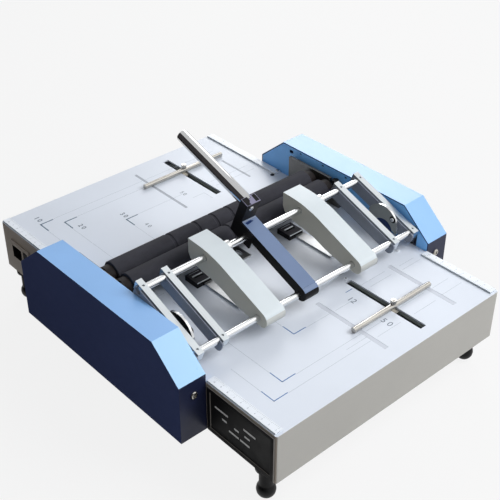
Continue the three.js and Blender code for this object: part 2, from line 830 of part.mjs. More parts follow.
function makeWeb() {
  const front = -webFrontOverhang;
  const rear = armSpan + webRearOverhang;
  const shape = new THREE.Shape();
  shape.absarc(rear - webSmallCorner, webRise - webSmallCorner, webSmallCorner, 0, Math.PI / 2);
  shape.absarc(front + webSmallCorner, webRise - webSmallCorner, webSmallCorner, Math.PI / 2, Math.PI);
  shape.absarc(front + webCorner, webCorner - webDepth, webCorner, Math.PI, Math.PI * 1.5);
  shape.absarc(rear - webSmallCorner, webSmallCorner - webDepth, webSmallCorner, Math.PI * 1.5, Math.PI * 2);
  const plate = alongX(shape, -armSize / 2 - fitGap - webSheet, -armSize / 2 - fitGap);
  return cut(plate, ...[0, armSpan].map((y) => barX(rodRadius + fitGap, -armSize, armSize, y, 0, roundPlan)));
}

// Head cover outline, drawn from the pivot; shares of the head's length and rise
const headTopShares = [
  [1, 0.99], [0.886, 0.982], [0.78, 0.964], [0.7, 0.932], [0.62, 0.882], [0.56, 0.84], [0.5, 0.789],
];
const headBottomShares = [
  [0.13, -0.166], [0.25, -0.111], [0.39, -0.009], [0.53, 0.13], [0.665, 0.205],
  [0.8, 0.25], [0.92, 0.33], [0.975, 0.43], [1, 0.58],
];

function headPoint([lengthShare, riseShare]) {
  return new THREE.Vector2(lengthShare * headLength, riseShare * headRise);
}

function headOutline() {
  const shape = new THREE.Shape();
  const top = headTopShares.map(headPoint);
  const bottom = headBottomShares.map(headPoint);
  shape.moveTo(top[0].x, top[0].y);
  top.slice(1).forEach((point) => shape.lineTo(point.x, point.y));
  shape.absarc(headNoseY, headNoseZ, headNoseRadius, Math.PI * 0.62, Math.PI * 1.55);
  bottom.forEach((point) => shape.lineTo(point.x, point.y));
  return shape;
}

function makeHead() {
  const half = headWidth / 2;
  const shell = alongX(headOutline(), -half, half);
  const low = () => alongX(headOutline(), headWall - half, half - headWall).translate(0, 0, -headWall);
  const inside = common(low().translate(0, -headWall, 0), low().translate(0, headWall, 0));
  const openBelow = low().translate(0, -headWall, -headRise / 2);
  const underside = common(openBelow, low().translate(0, 0, -headNoseRadius / 2));
  const rodHoles = [[0, 0], [rearRodY - pivotY, rearRodZ - pivotZ]].map(([y, z]) =>
    barX(rodRadius + fitGap, -headWidth, headWidth, y, z, roundPlan));
  const driver = block(
    -driverWidth / 2, driverWidth / 2,
    headLength - driverSetback - driverThickness, headLength - driverSetback, driverBottom, headRise - headWall / 2);
  const noseGate = block(
    -magazineWidth / 2 - fitGap, magazineWidth / 2 + fitGap,
    headLength - headWall * 2, headLength + overrun, 0, magazineNoseZ + magazineHeight + driveTravel);
  return join(cut(shell, inside, underside, noseGate, ...rodHoles), driver);
}

function makeMagazine() {
  const half = magazineWidth / 2;
  const body = alongX(polygon([
    [magazineHeelY, magazineHeelZ], [magazineReach, magazineNoseZ],
    [magazineReach - noseLean, magazineNoseZ + noseHeight],
    [magazineReach - noseLean - magazineHeight, magazineNoseZ + magazineHeight - noseLean],
    [magazineHeelY, magazineHeelZ + magazineHeight], [0, magazineEyeRadius], [0, -magazineEyeRadius],
  ]), -half, half);
  const eye = barX(magazineEyeRadius, -half, half, 0, 0, roundPlan);
  const slope = (magazineNoseZ - magazineHeelZ) / (magazineReach - magazineHeelY);
  const channelFront = magazineHeelY + magazineHeight;
  const channelRear = magazineReach - magazineHeight * 2;
  const floorAt = (y) => magazineHeelZ + slope * (y - magazineHeelY) + magazineHeight - stapleDepth;
  const channel = alongX(polygon([
    [channelFront, floorAt(channelFront)], [channelRear, floorAt(channelRear)],
    [channelRear, floorAt(channelRear) + magazineHeight * 2], [channelFront, floorAt(channelFront) + magazineHeight * 2],
  ]), -stapleWidth / 2, stapleWidth / 2);
  return cut(join(body, eye), channel, barX(rodRadius + fitGap, -magazineWidth, magazineWidth, 0, 0, roundPlan));
}

// The lever is drawn level, with the rear end of the channel's top at the origin, then tilted
function tiltLever(geometry) {
  return geometry.rotateX(leverDirection).translate(
    leverX,
    leverLength * Math.cos(leverDirection) - leverTopSetback,
    leverLength * Math.sin(leverDirection) + leverTopRise);
}

function makeLeverChannel() {
  const half = leverWidth / 2;
  const roof = block(-half, half, -leverLength, 0, -leverSheet, 0);
  const flanges = [-1, 1].map((side) => {
    const outer = side * half;
    const inner = side * (half - leverSheet);
    return block(
      Math.min(outer, inner), Math.max(outer, inner),
      -leverLength, -socketEarFront - fitGap, -leverDepth, -leverSheet / 2);
  });
  const clamp = barX(clampRadius, leverX - half, leverX + half, -clampShift, clampShift, finePlan);
  const bore = barX(rodRadius + fitGap, leverX - leverWidth, leverX + leverWidth, 0, 0, roundPlan);
  return cut(join(tiltLever(join(roof, ...flanges)), clamp), bore);
}

function makeLeverSocket() {
  const half = leverWidth / 2;
  const holder = block(-half, half, fitGap, socketLength, -leverSheet - fitGap, socketRise);
  const ears = [-1, 1].map((side) => {
    const outer = side * half;
    const inner = side * (half - leverSheet);
    const ear = alongX(
      roundedRectangle(-socketEarFront, socketLength, -socketEarDepth, -leverSheet - fitGap, leverSheet),
      Math.min(outer, inner), Math.max(outer, inner));
    return ear;
  });
  const floor = block(-half, half, fitGap, socketLength, -leverSheet - fitGap - leverSheet, -leverSheet);
  const rodBore = barX(rodRadius + fitGap, leverX - leverWidth, leverX + leverWidth,
    rearRodY - pivotY, rearRodZ - pivotZ, roundPlan);
  const tubeBore = handleRod(tubeRadius + fitGap, -tubeInSocket - fitGap, tubeLength);
  return cut(tiltLever(join(holder, floor, ...ears)), rodBore, tubeBore);
}

// A round bar along the handle's axis, from start to end measured from the tube's mouth
function handleRod(radius, start, end) {
  const rod = new THREE.CylinderGeometry(radius, radius, end - start, roundPlan);
  return rod.translate(0, (start + end) / 2, 0).rotateX(tubeDirection).translate(leverX, tubeY - pivotY, tubeZ - pivotZ);
}

function makeHandleTube() {
  return cut(
    handleRod(tubeRadius, -tubeInSocket, tubeLength),
    handleRod(tubeRadius - tubeWall, -tubeInSocket + tubeWall * 2, tubeLength + overrun));
}

// Rollers
function makeRubber() {
  return cut(
    barX(rollerRadius, -rubberReach, rubberReach, 0, 0, finePlan),
    barX(rollerCoreRadius + fitGap, -rubberReach - overrun, rubberReach + overrun, 0, 0, finePlan));
}

function makeRollerShaft() {
  const core = barX(rollerCoreRadius, -rollerEndReach, rollerEndReach, 0, 0, finePlan);
  const ends = [-1, 1].map((side) => {
    const a = side * (rubberReach + fitGap);
    const b = side * rollerEndReach;
    return barX(rollerEndRadius, Math.min(a, b), Math.max(a, b), 0, 0, finePlan);
  });
  const plateOuter = bearingPlateX + bearingPlateSheet;
  const journal = barX(shaftRadius, -plateOuter - overrun, shaftReachRight, 0, 0, roundPlan);
  const geared = barX(shaftEndRadius, -shaftReachLeft, -plateOuter, 0, 0, roundPlan);
  return join(core, ...ends, journal, geared);
}

// Involute gear, drawn in (y, z) about its axis; a tooth points along the angle start
function gearOutline(teeth, start) {
  const pitch = gearRadius(teeth);
  const cosine = Math.cos(THREE.MathUtils.degToRad(pressureAngle));
  const baseRadius = pitch * cosine;
  const root = pitch - rootDepthShare * gearModule;
  const tip = pitch + gearModule;
  const involute = (radius) => {
    const angle = Math.acos(Math.min(1, baseRadius / radius));
    return Math.tan(angle) - angle;
  };
  const halfAtPitch = Math.PI / 2 / teeth - gearBacklash / 2 / pitch;
  const flankStart = Math.max(baseRadius, root);
  const flank = flankShares.map((share) => {
    const radius = flankStart + (tip - flankStart) * share;
    return { radius, half: halfAtPitch + involute(pitch) - involute(radius) };
  });
  const rootPoint = { radius: root, half: flank[0].half };
  const side = root < flankStart ? [rootPoint, ...flank] : flank;
  const points = Array.from({ length: teeth }, (_, i) => {
    const middle = start + i * 2 * Math.PI / teeth;
    const rising = side.map(({ radius, half }) => [radius * Math.cos(middle - half), radius * Math.sin(middle - half)]);
    const falling = side.map(({ radius, half }) => [radius * Math.cos(middle + half), radius * Math.sin(middle + half)]);
    return [...rising, ...falling.reverse()];
  });
  return points.flat();
}

function makeGear(teeth, start, bore) {
  const wheel = alongX(polygon(gearOutline(teeth, start)), 0, gearWidth);
  const hub = barX(gearHubRadius, gearWidth - overrun, gearWidth + gearHubLength, 0, 0, roundPlan);
  const hole = barX(bore, -overrun, gearWidth + gearHubLength + overrun, 0, 0, roundPlan);
  return cut(join(wheel, hub), hole);
}

function makePinion(start) {
  const wheel = alongX(polygon(gearOutline(pinionTeeth, start)), 0, gearWidth);
  const shaftEnd = -halfWidth + baseSheet + pinionShaftInGearbox - gearX;
  return join(wheel, barX(pinionShaftRadius, -gearHubLength, shaftEnd, 0, 0, roundPlan));
}

// Where a tooth of the next gear points so that it meshes with this one
function meshedStart(start, radius, nextRadius, direction) {
  const halfPitch = Math.PI * gearModule / 2;
  return direction + Math.PI - ((start - direction) * radius + halfPitch) / nextRadius;
}

function makeDriveMotor() {
  const inner = baseSheet - halfWidth + seatGap;
  const motorEnd = inner + gearboxLength + motorLength;
  const z = pinionZ - motorDrop;
  const gearbox = barX(gearboxRadius, inner, inner + gearboxLength, pinionY, z, finePlan);
  const motor = barX(motorRadius, inner + gearboxLength - overrun, motorEnd, pinionY, z, finePlan);
  const cap = barX(motorCapRadius, motorEnd - overrun, motorEnd + motorCapLength, pinionY, z, roundPlan);
  const bore = barX(
    pinionShaftRadius + fitGap, inner - overrun, inner + pinionShaftInGearbox + overrun, pinionY, pinionZ, roundPlan);
  return cut(join(gearbox, motor, cap), bore);
}

// Knife pieces
function makeKnife() {
  return block(
    -knifeReach, knifeReach, knifeY - knifeThickness / 2, knifeY + knifeThickness / 2, carrierTop + seatGap, knifeTop);
}

function makeCarrier() {
  const half = carrierDepth / 2;
  const beam = block(-carrierReach, carrierReach, knifeY - half, knifeY + half, carrierTop - carrierHeight, carrierTop);
  const plunger = barZ(plungerRadius, 0, knifeY, plungerBottom, carrierTop - carrierHeight + overrun, roundPlan);
  return join(beam, plunger);
}

function makeSolenoid() {
  const bottom = footHeight + bottomSheet + seatGap;
  const coil = block(
    -solenoidWidth / 2, solenoidWidth / 2, knifeY - solenoidDepth / 2, knifeY + solenoidDepth / 2, bottom, solenoidTop);
  return cut(coil, barZ(plungerRadius + fitGap, 0, knifeY, bottom + solenoidFloor, solenoidTop + overrun, roundPlan));
}

// Gauge pieces
const gaugeBarZ = tableTop + seatGap + gaugeBarRadius;
const gaugeNutZ = gaugeBarZ + gaugeBarRadius + seatGap;

function makeGaugeBar({ x, left, right }) {
  const halfLength = gaugeSlotWidth / 2 - fitGap;
  const halfDeep = gaugeGuideDepth / 2;
  const headTop = tableUnderside - seatGap;
  const bar = barX(gaugeBarRadius, left - x, right - x, 0, gaugeBarZ, roundPlan);
  const guide = block(-halfLength, halfLength, -halfDeep, halfDeep, headTop - overrun, gaugeBarZ);
  const head = barZ(gaugeBoltHeadRadius, 0, 0, headTop - gaugeBoltHeadHeight, headTop, roundPlan);
  const shank = barZ(gaugeBoltRadius, 0, 0, gaugeBarZ, gaugeNutZ + thumbNutHeight + boltAboveNut, smallPlan);
  return join(bar, guide, head, shank);
}

function makeThumbNut() {
  const nut = flutedKnob(thumbNutRadius, thumbNutHeight, thumbNutFlutes);
  return cut(nut, barZ(gaugeBoltRadius + fitGap, 0, 0, -overrun, thumbNutHeight + overrun, smallPlan));
}

// Coil of round wire about the X axis, closed at both ends
class CoilCurve extends THREE.Curve {
  getPoint(share, target = new THREE.Vector3()) {
    const angle = share * springTurns * 2 * Math.PI;
    const x = springStart + (springEnd - springStart) * share;
    return target.set(x, springRadius * Math.cos(angle), springRadius * Math.sin(angle));
  }
}

function makeReturnSpring() {
  const wire = new THREE.Shape();
  Array.from({ length: springWireSides }, (_, i) => {
    const angle = i * 2 * Math.PI / springWireSides;
    const place = [springWireRadius * Math.cos(angle), springWireRadius * Math.sin(angle)];
    return i === 0 ? wire.moveTo(...place) : wire.lineTo(...place);
  });
  return new THREE.ExtrudeGeometry(wire, {
    steps: springTurns * springStepsPerTurn, extrudePath: new CoilCurve(), bevelEnabled: false,
  });
}

// Gear places, worked out from the rear roller's gear
const rollerGearRadius = gearRadius(rollerTeeth);
const idlerRadius = gearRadius(idlerTeeth);
const pinionRadius = gearRadius(pinionTeeth);
const toIdler = THREE.MathUtils.degToRad(idlerAngle);
const toPinion = THREE.MathUtils.degToRad(pinionAngle);
const idlerY = rearRollerY + (rollerGearRadius + idlerRadius) * Math.cos(toIdler);
const idlerZ = rollerZ + (rollerGearRadius + idlerRadius) * Math.sin(toIdler);
const pinionY = idlerY + (idlerRadius + pinionRadius) * Math.cos(toPinion);
const pinionZ = idlerZ + (idlerRadius + pinionRadius) * Math.sin(toPinion);
const rearStart = toIdler;
const frontStart = meshedStart(rearStart, rollerGearRadius, rollerGearRadius, Math.PI);
const idlerStart = meshedStart(rearStart, rollerGearRadius, idlerRadius, toIdler);
const pinionStart = meshedStart(idlerStart, idlerRadius, pinionRadius, toPinion);

// Materials
const finish = (color, roughness, metalness) => new THREE.MeshStandardMaterial({ color, roughness, metalness });
const paintedBase = () => finish(0xccd0d6, 0.5, 0.1);
const paintedBlue = () => finish(0x6f9fdc, 0.4, 0.1);
const brightSteel = () => finish(0xd8d8da, 0.25, 1);
const chrome = () => finish(0xe6e6e8, 0.1, 1);
const darkSteel = () => finish(0x1b1c20, 0.45, 0.5);
const greySteel = () => finish(0x6b6660, 0.5, 0.8);
const zincSteel = () => finish(0xb0b2b4, 0.4, 0.9);
const nickel = () => finish(0xb9b29c, 0.3, 1);
const rubber = () => finish(0x3c3c44, 0.85, 0);
const headPlastic = () => finish(0xd6dadc, 0.45, 0);
const blackPlastic = () => finish(0x151517, 0.5, 0);
const rulerWhite = () => finish(0xf2f4f8, 0.5, 0);
const gearPlastic = () => finish(0xe8e4d6, 0.5, 0);
const springSteel = () => finish(0x8a8c90, 0.35, 1);

// The assembly
const stapler = new THREE.Group();

function group(x = 0, y = 0, z = 0) {
  const body = new THREE.Group();
  body.position.set(x, y, z);
  stapler.add(body);
  return body;
}

function add(body, name, geometry, material, place = [0, 0, 0], tilt = 0) {
  const mesh = new THREE.Mesh(geometry, material);
  mesh.name = name;
  mesh.position.set(...place);
  mesh.rotation.x = tilt;
  body.add(mesh);
}

const base = group();
add(base, 'base_shell', makeBaseShell(), paintedBase());
add(base, 'bottom_plate', makeBottomPlate(), zincSteel());

const foot = makeFoot();
const footX = halfWidth - footInset;
const footY = halfDepth - footSetback;
for (const [end, y] of [['front', -footY], ['rear', footY]]) {
  for (const [side, x] of [['left', -footX], ['right', footX]]) {
    add(base, `foot_${end}_${side}`, foot, rubber(), [x, y, 0]);
  }
}

const rulerRearStart = coverRear + rulerEndGap;
const rulerFrontStart = rulerFrontMargin - halfDepth;
const rulerLengths = { front: coverFront - rulerFrontStart, rear: halfDepth - rulerEndGap - rulerRearStart };
const rulerStarts = { front: rulerFrontStart, rear: rulerRearStart };
const rulerLeft = { left: rulerInset - halfWidth, right: halfWidth - rulerInset - rulerWidth };
for (const end of ['front', 'rear']) {
  for (const side of ['left', 'right']) {
    add(base, `ruler_${end}_${side}`, makeRuler(rulerLengths[end]), rulerWhite(),
      [rulerLeft[side], rulerStarts[end], tableTop + seatGap]);
  }
}

const cover = makeCover();
add(base, 'left_cover', mirrored(cover), paintedBlue());
add(base, 'right_cover', cover, paintedBlue());
add(base, 'left_side_frame', makeLeftFrame(), zincSteel());
add(base, 'right_side_frame', makeSideFrame(), zincSteel());

const bearingPlate = makeBearingPlate();
add(base, 'left_bearing_plate', mirrored(bearingPlate), greySteel());
add(base, 'right_bearing_plate', bearingPlate, greySteel());
const stopBracket = makeStopBracket();
add(base, 'left_stop_bracket', mirrored(stopBracket), greySteel());
add(base, 'right_stop_bracket', stopBracket, greySteel());

const anvil = makeAnvil();
add(base, 'left_anvil', anvil, darkSteel(), [leftHeadX, 0, 0]);
add(base, 'right_anvil', anvil, darkSteel(), [rightHeadX, 0, 0]);
add(base, 'centre_paper_stop', makePaperStop(), zincSteel(), [paperStopX, 0, 0]);
add(base, 'side_panel', makeSidePanel(), blackPlastic());
add(base, 'mains_inlet', makeMainsInlet(), blackPlastic());
add(base, 'drive_motor', makeDriveMotor(), zincSteel());
add(base, 'knife_solenoid', makeSolenoid(), darkSteel());
add(base, 'return_spring', makeReturnSpring(), springSteel(), [0, pivotY, pivotZ]);

const lever = group(0, pivotY, pivotZ);
add(lever, 'front_rod', makeFrontRod(), brightSteel());
add(lever, 'rear_rod', makeRearRod(), brightSteel(), [0, rearRodY - pivotY, rearRodZ - pivotZ]);
const arm = makeArm();
const web = makeWeb();
const armPlaces = {
  left_outer: -outerArmX, left_inner: -innerArmX, right_inner: innerArmX, right_outer: outerArmX,
};
for (const [name, x] of Object.entries(armPlaces)) {
  add(lever, `${name}_arm`, arm, brightSteel(), [x, 0, 0], armTilt);
  add(lever, `${name}_web`, web, darkSteel(), [x, 0, 0], armTilt);
}
const head = makeHead();
add(lever, 'left_head', head, headPlastic(), [leftHeadX, 0, 0]);
add(lever, 'right_head', head, headPlastic(), [rightHeadX, 0, 0]);
add(lever, 'lever_channel', makeLeverChannel(), darkSteel());
add(lever, 'lever_socket', makeLeverSocket(), darkSteel());
add(lever, 'handle_tube', makeHandleTube(), chrome());

const magazine = makeMagazine();
add(group(leftHeadX, pivotY, pivotZ), 'left_magazine', magazine, zincSteel());
add(group(rightHeadX, pivotY, pivotZ), 'right_magazine', magazine, zincSteel());

const rollerRubber = makeRubber();
const rollerShaft = makeRollerShaft();
for (const [name, y, start] of [['front', frontRollerY, frontStart], ['rear', rearRollerY, rearStart]]) {
  const roller = group(0, y, rollerZ);
  add(roller, `${name}_roller_rubber`, rollerRubber, rubber());
  add(roller, `${name}_roller_shaft`, rollerShaft, greySteel());
  add(roller, `${name}_roller_gear`, makeGear(rollerTeeth, start, shaftEndRadius + fitGap), gearPlastic(), [gearX, 0, 0]);
}
const idler = makeGear(idlerTeeth, idlerStart, studRadius + fitGap);
add(group(gearX, idlerY, idlerZ), 'idler_gear', idler, gearPlastic());
add(group(gearX, pinionY, pinionZ), 'motor_pinion', makePinion(pinionStart), brightSteel());

const knife = group();
add(knife, 'fold_knife', makeKnife(), brightSteel());
add(knife, 'knife_carrier', makeCarrier(), zincSteel());

for (const [name, gauge] of [['front', frontGauge], ['rear', rearGauge]]) {
  const slide = group(gauge.x, gauge.y, 0);
  add(slide, `${name}_gauge_bar`, makeGaugeBar(gauge), nickel());
  add(slide, `${name}_gauge_nut`, makeThumbNut(), nickel(), [0, 0, gaugeNutZ]);
}

const nipKnob = flutedKnob(nipKnobRadius, nipKnobHeight, nipKnobFlutes);
const nipKnobX = bearingPlateX + bearingPlateSheet / 2;
const nipKnobZ = bearingShelfTop + seatGap;
add(group(-nipKnobX, nipKnobY, nipKnobZ), 'left_nip_knob', nipKnob, blackPlastic());
add(group(nipKnobX, nipKnobY, nipKnobZ), 'right_nip_knob', nipKnob, blackPlastic());

const rockerX = -halfWidth - seatGap - inletBezel + rockerPivotDepth;
add(group(rockerX, rockerY, inletZ), 'power_switch', makeRocker(), blackPlastic());

export default stapler;
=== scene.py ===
import json
import math

import bmesh
import bpy
from mathutils import Matrix, Vector


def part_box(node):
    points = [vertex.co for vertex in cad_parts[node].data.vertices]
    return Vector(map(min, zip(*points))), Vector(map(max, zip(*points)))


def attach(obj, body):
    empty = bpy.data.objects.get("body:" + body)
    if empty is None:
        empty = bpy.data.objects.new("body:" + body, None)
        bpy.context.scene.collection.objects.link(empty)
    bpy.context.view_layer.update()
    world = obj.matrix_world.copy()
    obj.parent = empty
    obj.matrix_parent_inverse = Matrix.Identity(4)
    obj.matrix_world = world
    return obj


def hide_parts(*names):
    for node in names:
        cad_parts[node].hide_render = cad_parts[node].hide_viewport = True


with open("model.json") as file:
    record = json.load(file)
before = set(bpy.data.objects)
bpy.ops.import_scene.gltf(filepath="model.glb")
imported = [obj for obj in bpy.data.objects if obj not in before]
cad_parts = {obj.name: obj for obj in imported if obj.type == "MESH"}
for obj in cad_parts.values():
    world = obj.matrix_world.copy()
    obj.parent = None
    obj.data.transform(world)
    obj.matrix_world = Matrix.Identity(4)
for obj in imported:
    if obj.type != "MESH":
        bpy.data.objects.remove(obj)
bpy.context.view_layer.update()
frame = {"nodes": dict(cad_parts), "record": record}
scene = bpy.context.scene

MM = 0.001
WELD = 1e-6
UP = (0, 0, 1)
SIDES = {"left": -1, "right": 1}

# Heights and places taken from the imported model, in millimetres
TABLE_TOP = 106.5
HALF_WIDTH = 171
HALF_DEPTH = 249
PIVOT_Y = -123.5
PIVOT_Z = 128
REAR_ROD_Y = -37
REAR_ROD_Z = 159.5
HEAD_XS = (-67.5, 76.5)
HEAD_WIDTH = 27

# Camera at the photograph's place, angles in degrees
CAMERA_PLACE = (-642.55, -733.14, 788.40)
CAMERA_AZIMUTH = 42.071
CAMERA_DROP = 34.705
CAMERA_ROLL = 0.158
CAMERA_LENS = 72.474
CAMERA_SENSOR = 36
CAMERA_CLIP = (0.01, 100)


def make_camera():
    data = bpy.data.cameras.new("camera")
    data.sensor_fit = "HORIZONTAL"
    data.sensor_width = CAMERA_SENSOR
    data.lens = CAMERA_LENS
    data.clip_start, data.clip_end = CAMERA_CLIP
    camera = bpy.data.objects.new("camera", data)
    scene.collection.objects.link(camera)
    azimuth, drop, roll = (math.radians(v) for v in (CAMERA_AZIMUTH, CAMERA_DROP, CAMERA_ROLL))
    level = math.cos(drop)
    forward = Vector((math.sin(azimuth) * level, math.cos(azimuth) * level, -math.sin(drop)))
    right = Vector((math.cos(azimuth), -math.sin(azimuth), 0))
    up = right.cross(forward)
    tilted_right = right * math.cos(roll) + up * math.sin(roll)
    tilted_up = up * math.cos(roll) - right * math.sin(roll)
    turn = Matrix((tilted_right, tilted_up, -forward)).transposed()
    camera.matrix_world = Matrix.Translation(Vector(CAMERA_PLACE) * MM) @ turn.to_4x4()
    scene.camera = camera


# Colours are written as they show on a screen
def shown(red, green, blue):
    def linear(value):
        share = value / 255
        return share / 12.92 if share <= 0.04045 else ((share + 0.055) / 1.055) ** 2.4
    return (linear(red), linear(green), linear(blue), 1)


def scaled(colour, factor):
    return tuple(min(1, channel * factor) for channel in colour[:3]) + (1,)


# Node helpers; most noise lies between these two levels
NOISE_LOW = 0.3
NOISE_HIGH = 0.7


class Shading:
    def __init__(self, name):
        self.material = bpy.data.materials.new(name)
        self.material.use_nodes = True
        self.tree = self.material.node_tree
        self.tree.nodes.clear()
        self.output = self.add("ShaderNodeOutputMaterial")

    def add(self, kind, inputs=None, **settings):
        node = self.tree.nodes.new(kind)
        for key, value in settings.items():
            setattr(node, key, value)
        for key, value in (inputs or {}).items():
            if isinstance(value, bpy.types.NodeSocket):
                self.tree.links.new(value, node.inputs[key])
            else:
                node.inputs[key].default_value = value
        return node

    def place(self, stretch=(1, 1, 1)):
        coordinates = self.add("ShaderNodeTexCoord")
        mapping = self.add("ShaderNodeMapping", {
            "Vector": coordinates.outputs["Object"], "Scale": stretch,
        })
        return mapping.outputs["Vector"]

    def noise(self, place, size, detail=3, roughness=0.55):
        return self.add("ShaderNodeTexNoise", {
            "Vector": place, "Scale": 1 / (size * MM), "Detail": detail, "Roughness": roughness,
        }).outputs["Fac"]

    def ranged(self, value, new_low, new_high, low=NOISE_LOW, high=NOISE_HIGH):
        return self.add("ShaderNodeMapRange", {
            "Value": value, "From Min": low, "From Max": high, "To Min": new_low, "To Max": new_high,
        }).outputs["Result"]

    def mixed(self, fac, first, second):
        node = self.add("ShaderNodeMix", data_type="RGBA")
        for socket, value in ((node.inputs[0], fac), (node.inputs[6], first), (node.inputs[7], second)):
            if isinstance(value, bpy.types.NodeSocket):
                self.tree.links.new(value, socket)
            else:
                socket.default_value = value
        return node.outputs[2]

    def drifting(self, fac, colour, drift):
        return self.mixed(fac, scaled(colour, 1 - drift), scaled(colour, 1 + drift))

    def bump(self, height, strength, depth):
        return self.add("ShaderNodeBump", {
            "Height": height, "Strength": strength, "Distance": depth * MM,
        }).outputs["Normal"]

    def finish(self, **inputs):
        names = {key.replace("_", " "): value for key, value in inputs.items()}
        shader = self.add("ShaderNodeBsdfPrincipled", names)
        self.tree.links.new(shader.outputs["BSDF"], self.output.inputs["Surface"])
        return self.material


# Sizes of grain and drift are in millimetres
def painted(name, colour, roughness=0.4, grain=0.6, depth=0.03, drift=0.05, coat=0.0, drift_size=60,
            shine=0.5):
    """Powder coat or enamel: fine orange peel, slow colour drift, faint handling marks."""
    s = Shading(name)
    place = s.place()
    slow = s.noise(place, drift_size, detail=4)
    marks = s.noise(s.place((1, 0.35, 1)), size=9, detail=5, roughness=0.7)
    peel = s.bump(s.noise(place, grain, detail=2), strength=0.35, depth=depth)
    return s.finish(
        Base_Color=s.drifting(s.ranged(slow, 0, 1), colour, drift), Normal=peel,
        Roughness=s.ranged(marks, roughness - 0.03, roughness + 0.04),
        Coat_Weight=coat, Coat_Roughness=0.15, Specular_IOR_Level=shine)


def metal(name, colour, roughness=0.3, stretch=(0.05, 1, 1), grain=0.4, depth=0.01, drift=0.08):
    """Brushed or turned metal: fine lines along the stretched direction and slow staining."""
    s = Shading(name)
    lines = s.noise(s.place(stretch), grain)
    slow = s.noise(s.place(), size=25, detail=4)
    return s.finish(
        Base_Color=s.mixed(s.ranged(slow, 0, 1), scaled(colour, 1 - drift), colour), Metallic=1.0,
        Roughness=s.ranged(lines, roughness * 0.8, roughness * 1.25),
        Normal=s.bump(lines, strength=0.25, depth=depth))


def moulded(name, colour, roughness=0.45, grain=0.5, depth=0.02, drift=0.03, shine=0.5):
    """Moulded plastic: spark-eroded grain and slight clouding."""
    s = Shading(name)
    place = s.place()
    slow = s.noise(place, size=40)
    cloud = s.noise(place, size=14, detail=4)
    return s.finish(
        Base_Color=s.drifting(s.ranged(slow, 0, 1), colour, drift),
        Roughness=s.ranged(cloud, roughness - 0.05, roughness + 0.07),
        Normal=s.bump(s.noise(place, grain, detail=2), strength=0.3, depth=depth),
        Specular_IOR_Level=shine)


def rubbery(name, colour, roughness=0.75, ring=0.7, depth=0.04, drift=0.18, shine=0.25):
    """Ground rubber: fine turning rings along the axis and dusty patches."""
    s = Shading(name)
    rings = s.noise(s.place((1, 0.04, 0.04)), ring, detail=2)
    dust = s.noise(s.place((0.5, 1, 1)), size=18, detail=5, roughness=0.65)
    patches = s.ranged(dust, 0, 1, low=0.35)
    return s.finish(
        Base_Color=s.mixed(patches, scaled(colour, 1 - drift), scaled(colour, 1 + drift * 2)),
        Roughness=s.ranged(dust, roughness - 0.08, roughness + 0.1),
        Normal=s.bump(rings, strength=0.4, depth=depth), Specular_IOR_Level=shine)


def inked(name, colour):
    """Printing ink, slightly worn."""
    s = Shading(name)
    wear = s.noise(s.place(), size=2.5, detail=4)
    worn = s.ranged(wear, 0, 0.5, low=0.55, high=0.8)
    return s.finish(Base_Color=s.mixed(worn, colour, shown(200, 208, 216)), Roughness=0.5)


# Each row: the material's name, its colour, and what differs from its kind's usual values
PAINTS = {
    "base_paint": ("base_paint_coat", (211, 217, 227), dict(drift=0.03, coat=0.06, drift_size=120)),
    # The base's walls are darker, warmer copies of its paint: painted shade, deepest on the left
    "base_side": ("base_side_coat", (175, 173, 168),
                  dict(roughness=0.45, drift=0.03, drift_size=120, shine=0.3)),
    "base_flank": ("base_flank_coat", (150, 140, 130), dict(roughness=0.45, drift_size=120, shine=0.3)),
    # The covers' blues: the brighter slope and inner side are painted light, the navies painted shade
    "sky_paint": ("sky_blue_paint", (134, 180, 232),
                  dict(roughness=0.3, drift=0.04, coat=0.15, drift_size=90)),
    "sky_bright": ("sky_blue_sunlit", (158, 202, 242),
                   dict(roughness=0.3, drift=0.03, coat=0.15, drift_size=90)),
    "inner_paint": ("mid_blue_paint", (120, 186, 250), dict(roughness=0.36, drift=0.08, coat=0.1)),
    # Navy for dark seams, and as painted shade on the stop brackets and in the lever's notch
    "seam_paint": ("seam_navy_paint", (24, 44, 88), dict(roughness=0.5, drift=0.08, shine=0.2)),
    "navy_paint": ("navy_blue_paint", (56, 66, 104),
                   dict(roughness=0.5, drift=0.04, drift_size=90, shine=0.12)),
    "navy_end": ("navy_end_paint", (24, 30, 56), dict(roughness=0.42, drift=0.06, shine=0.3)),
    "black_steel": ("black_satin_paint", (16, 15, 17),
                    dict(roughness=0.42, grain=0.4, depth=0.02, drift=0.15, shine=0.16)),
    "slate_steel": ("slate_satin_paint", (118, 125, 139),
                    dict(roughness=0.38, grain=0.4, depth=0.02, drift=0.12)),
    "lever_top": ("lever_top_paint", (105, 124, 157),
                  dict(roughness=0.34, grain=0.5, depth=0.02, drift=0.08, coat=0.1)),
    "socket_top": ("socket_top_paint", (124, 122, 146),
                   dict(roughness=0.36, grain=0.5, depth=0.02, drift=0.08, coat=0.1)),
    "dark_steel": ("blackened_shaft_steel", (32, 28, 28),
                   dict(roughness=0.5, grain=0.4, depth=0.02, drift=0.2, shine=0.16)),
    "dull_steel": ("dull_grey_steel", (128, 133, 134), dict(drift=0.12)),
    # Grooves' painted shade, lighter in front and darker behind
    "groove_pale": ("pressed_groove_pale", (194, 199, 209), dict(roughness=0.45, drift=0.03)),
    "groove_dark": ("pressed_groove_dark", (160, 166, 176), dict(roughness=0.45, drift=0.03)),
    "anvil_top": ("anvil_worn_top", (58, 58, 62), dict(grain=0.4, depth=0.02, drift=0.2, shine=0.4)),
    "edge_grey": ("worn_edge_grey", (158, 163, 168), dict(grain=0.4, depth=0.01, drift=0.1)),
}
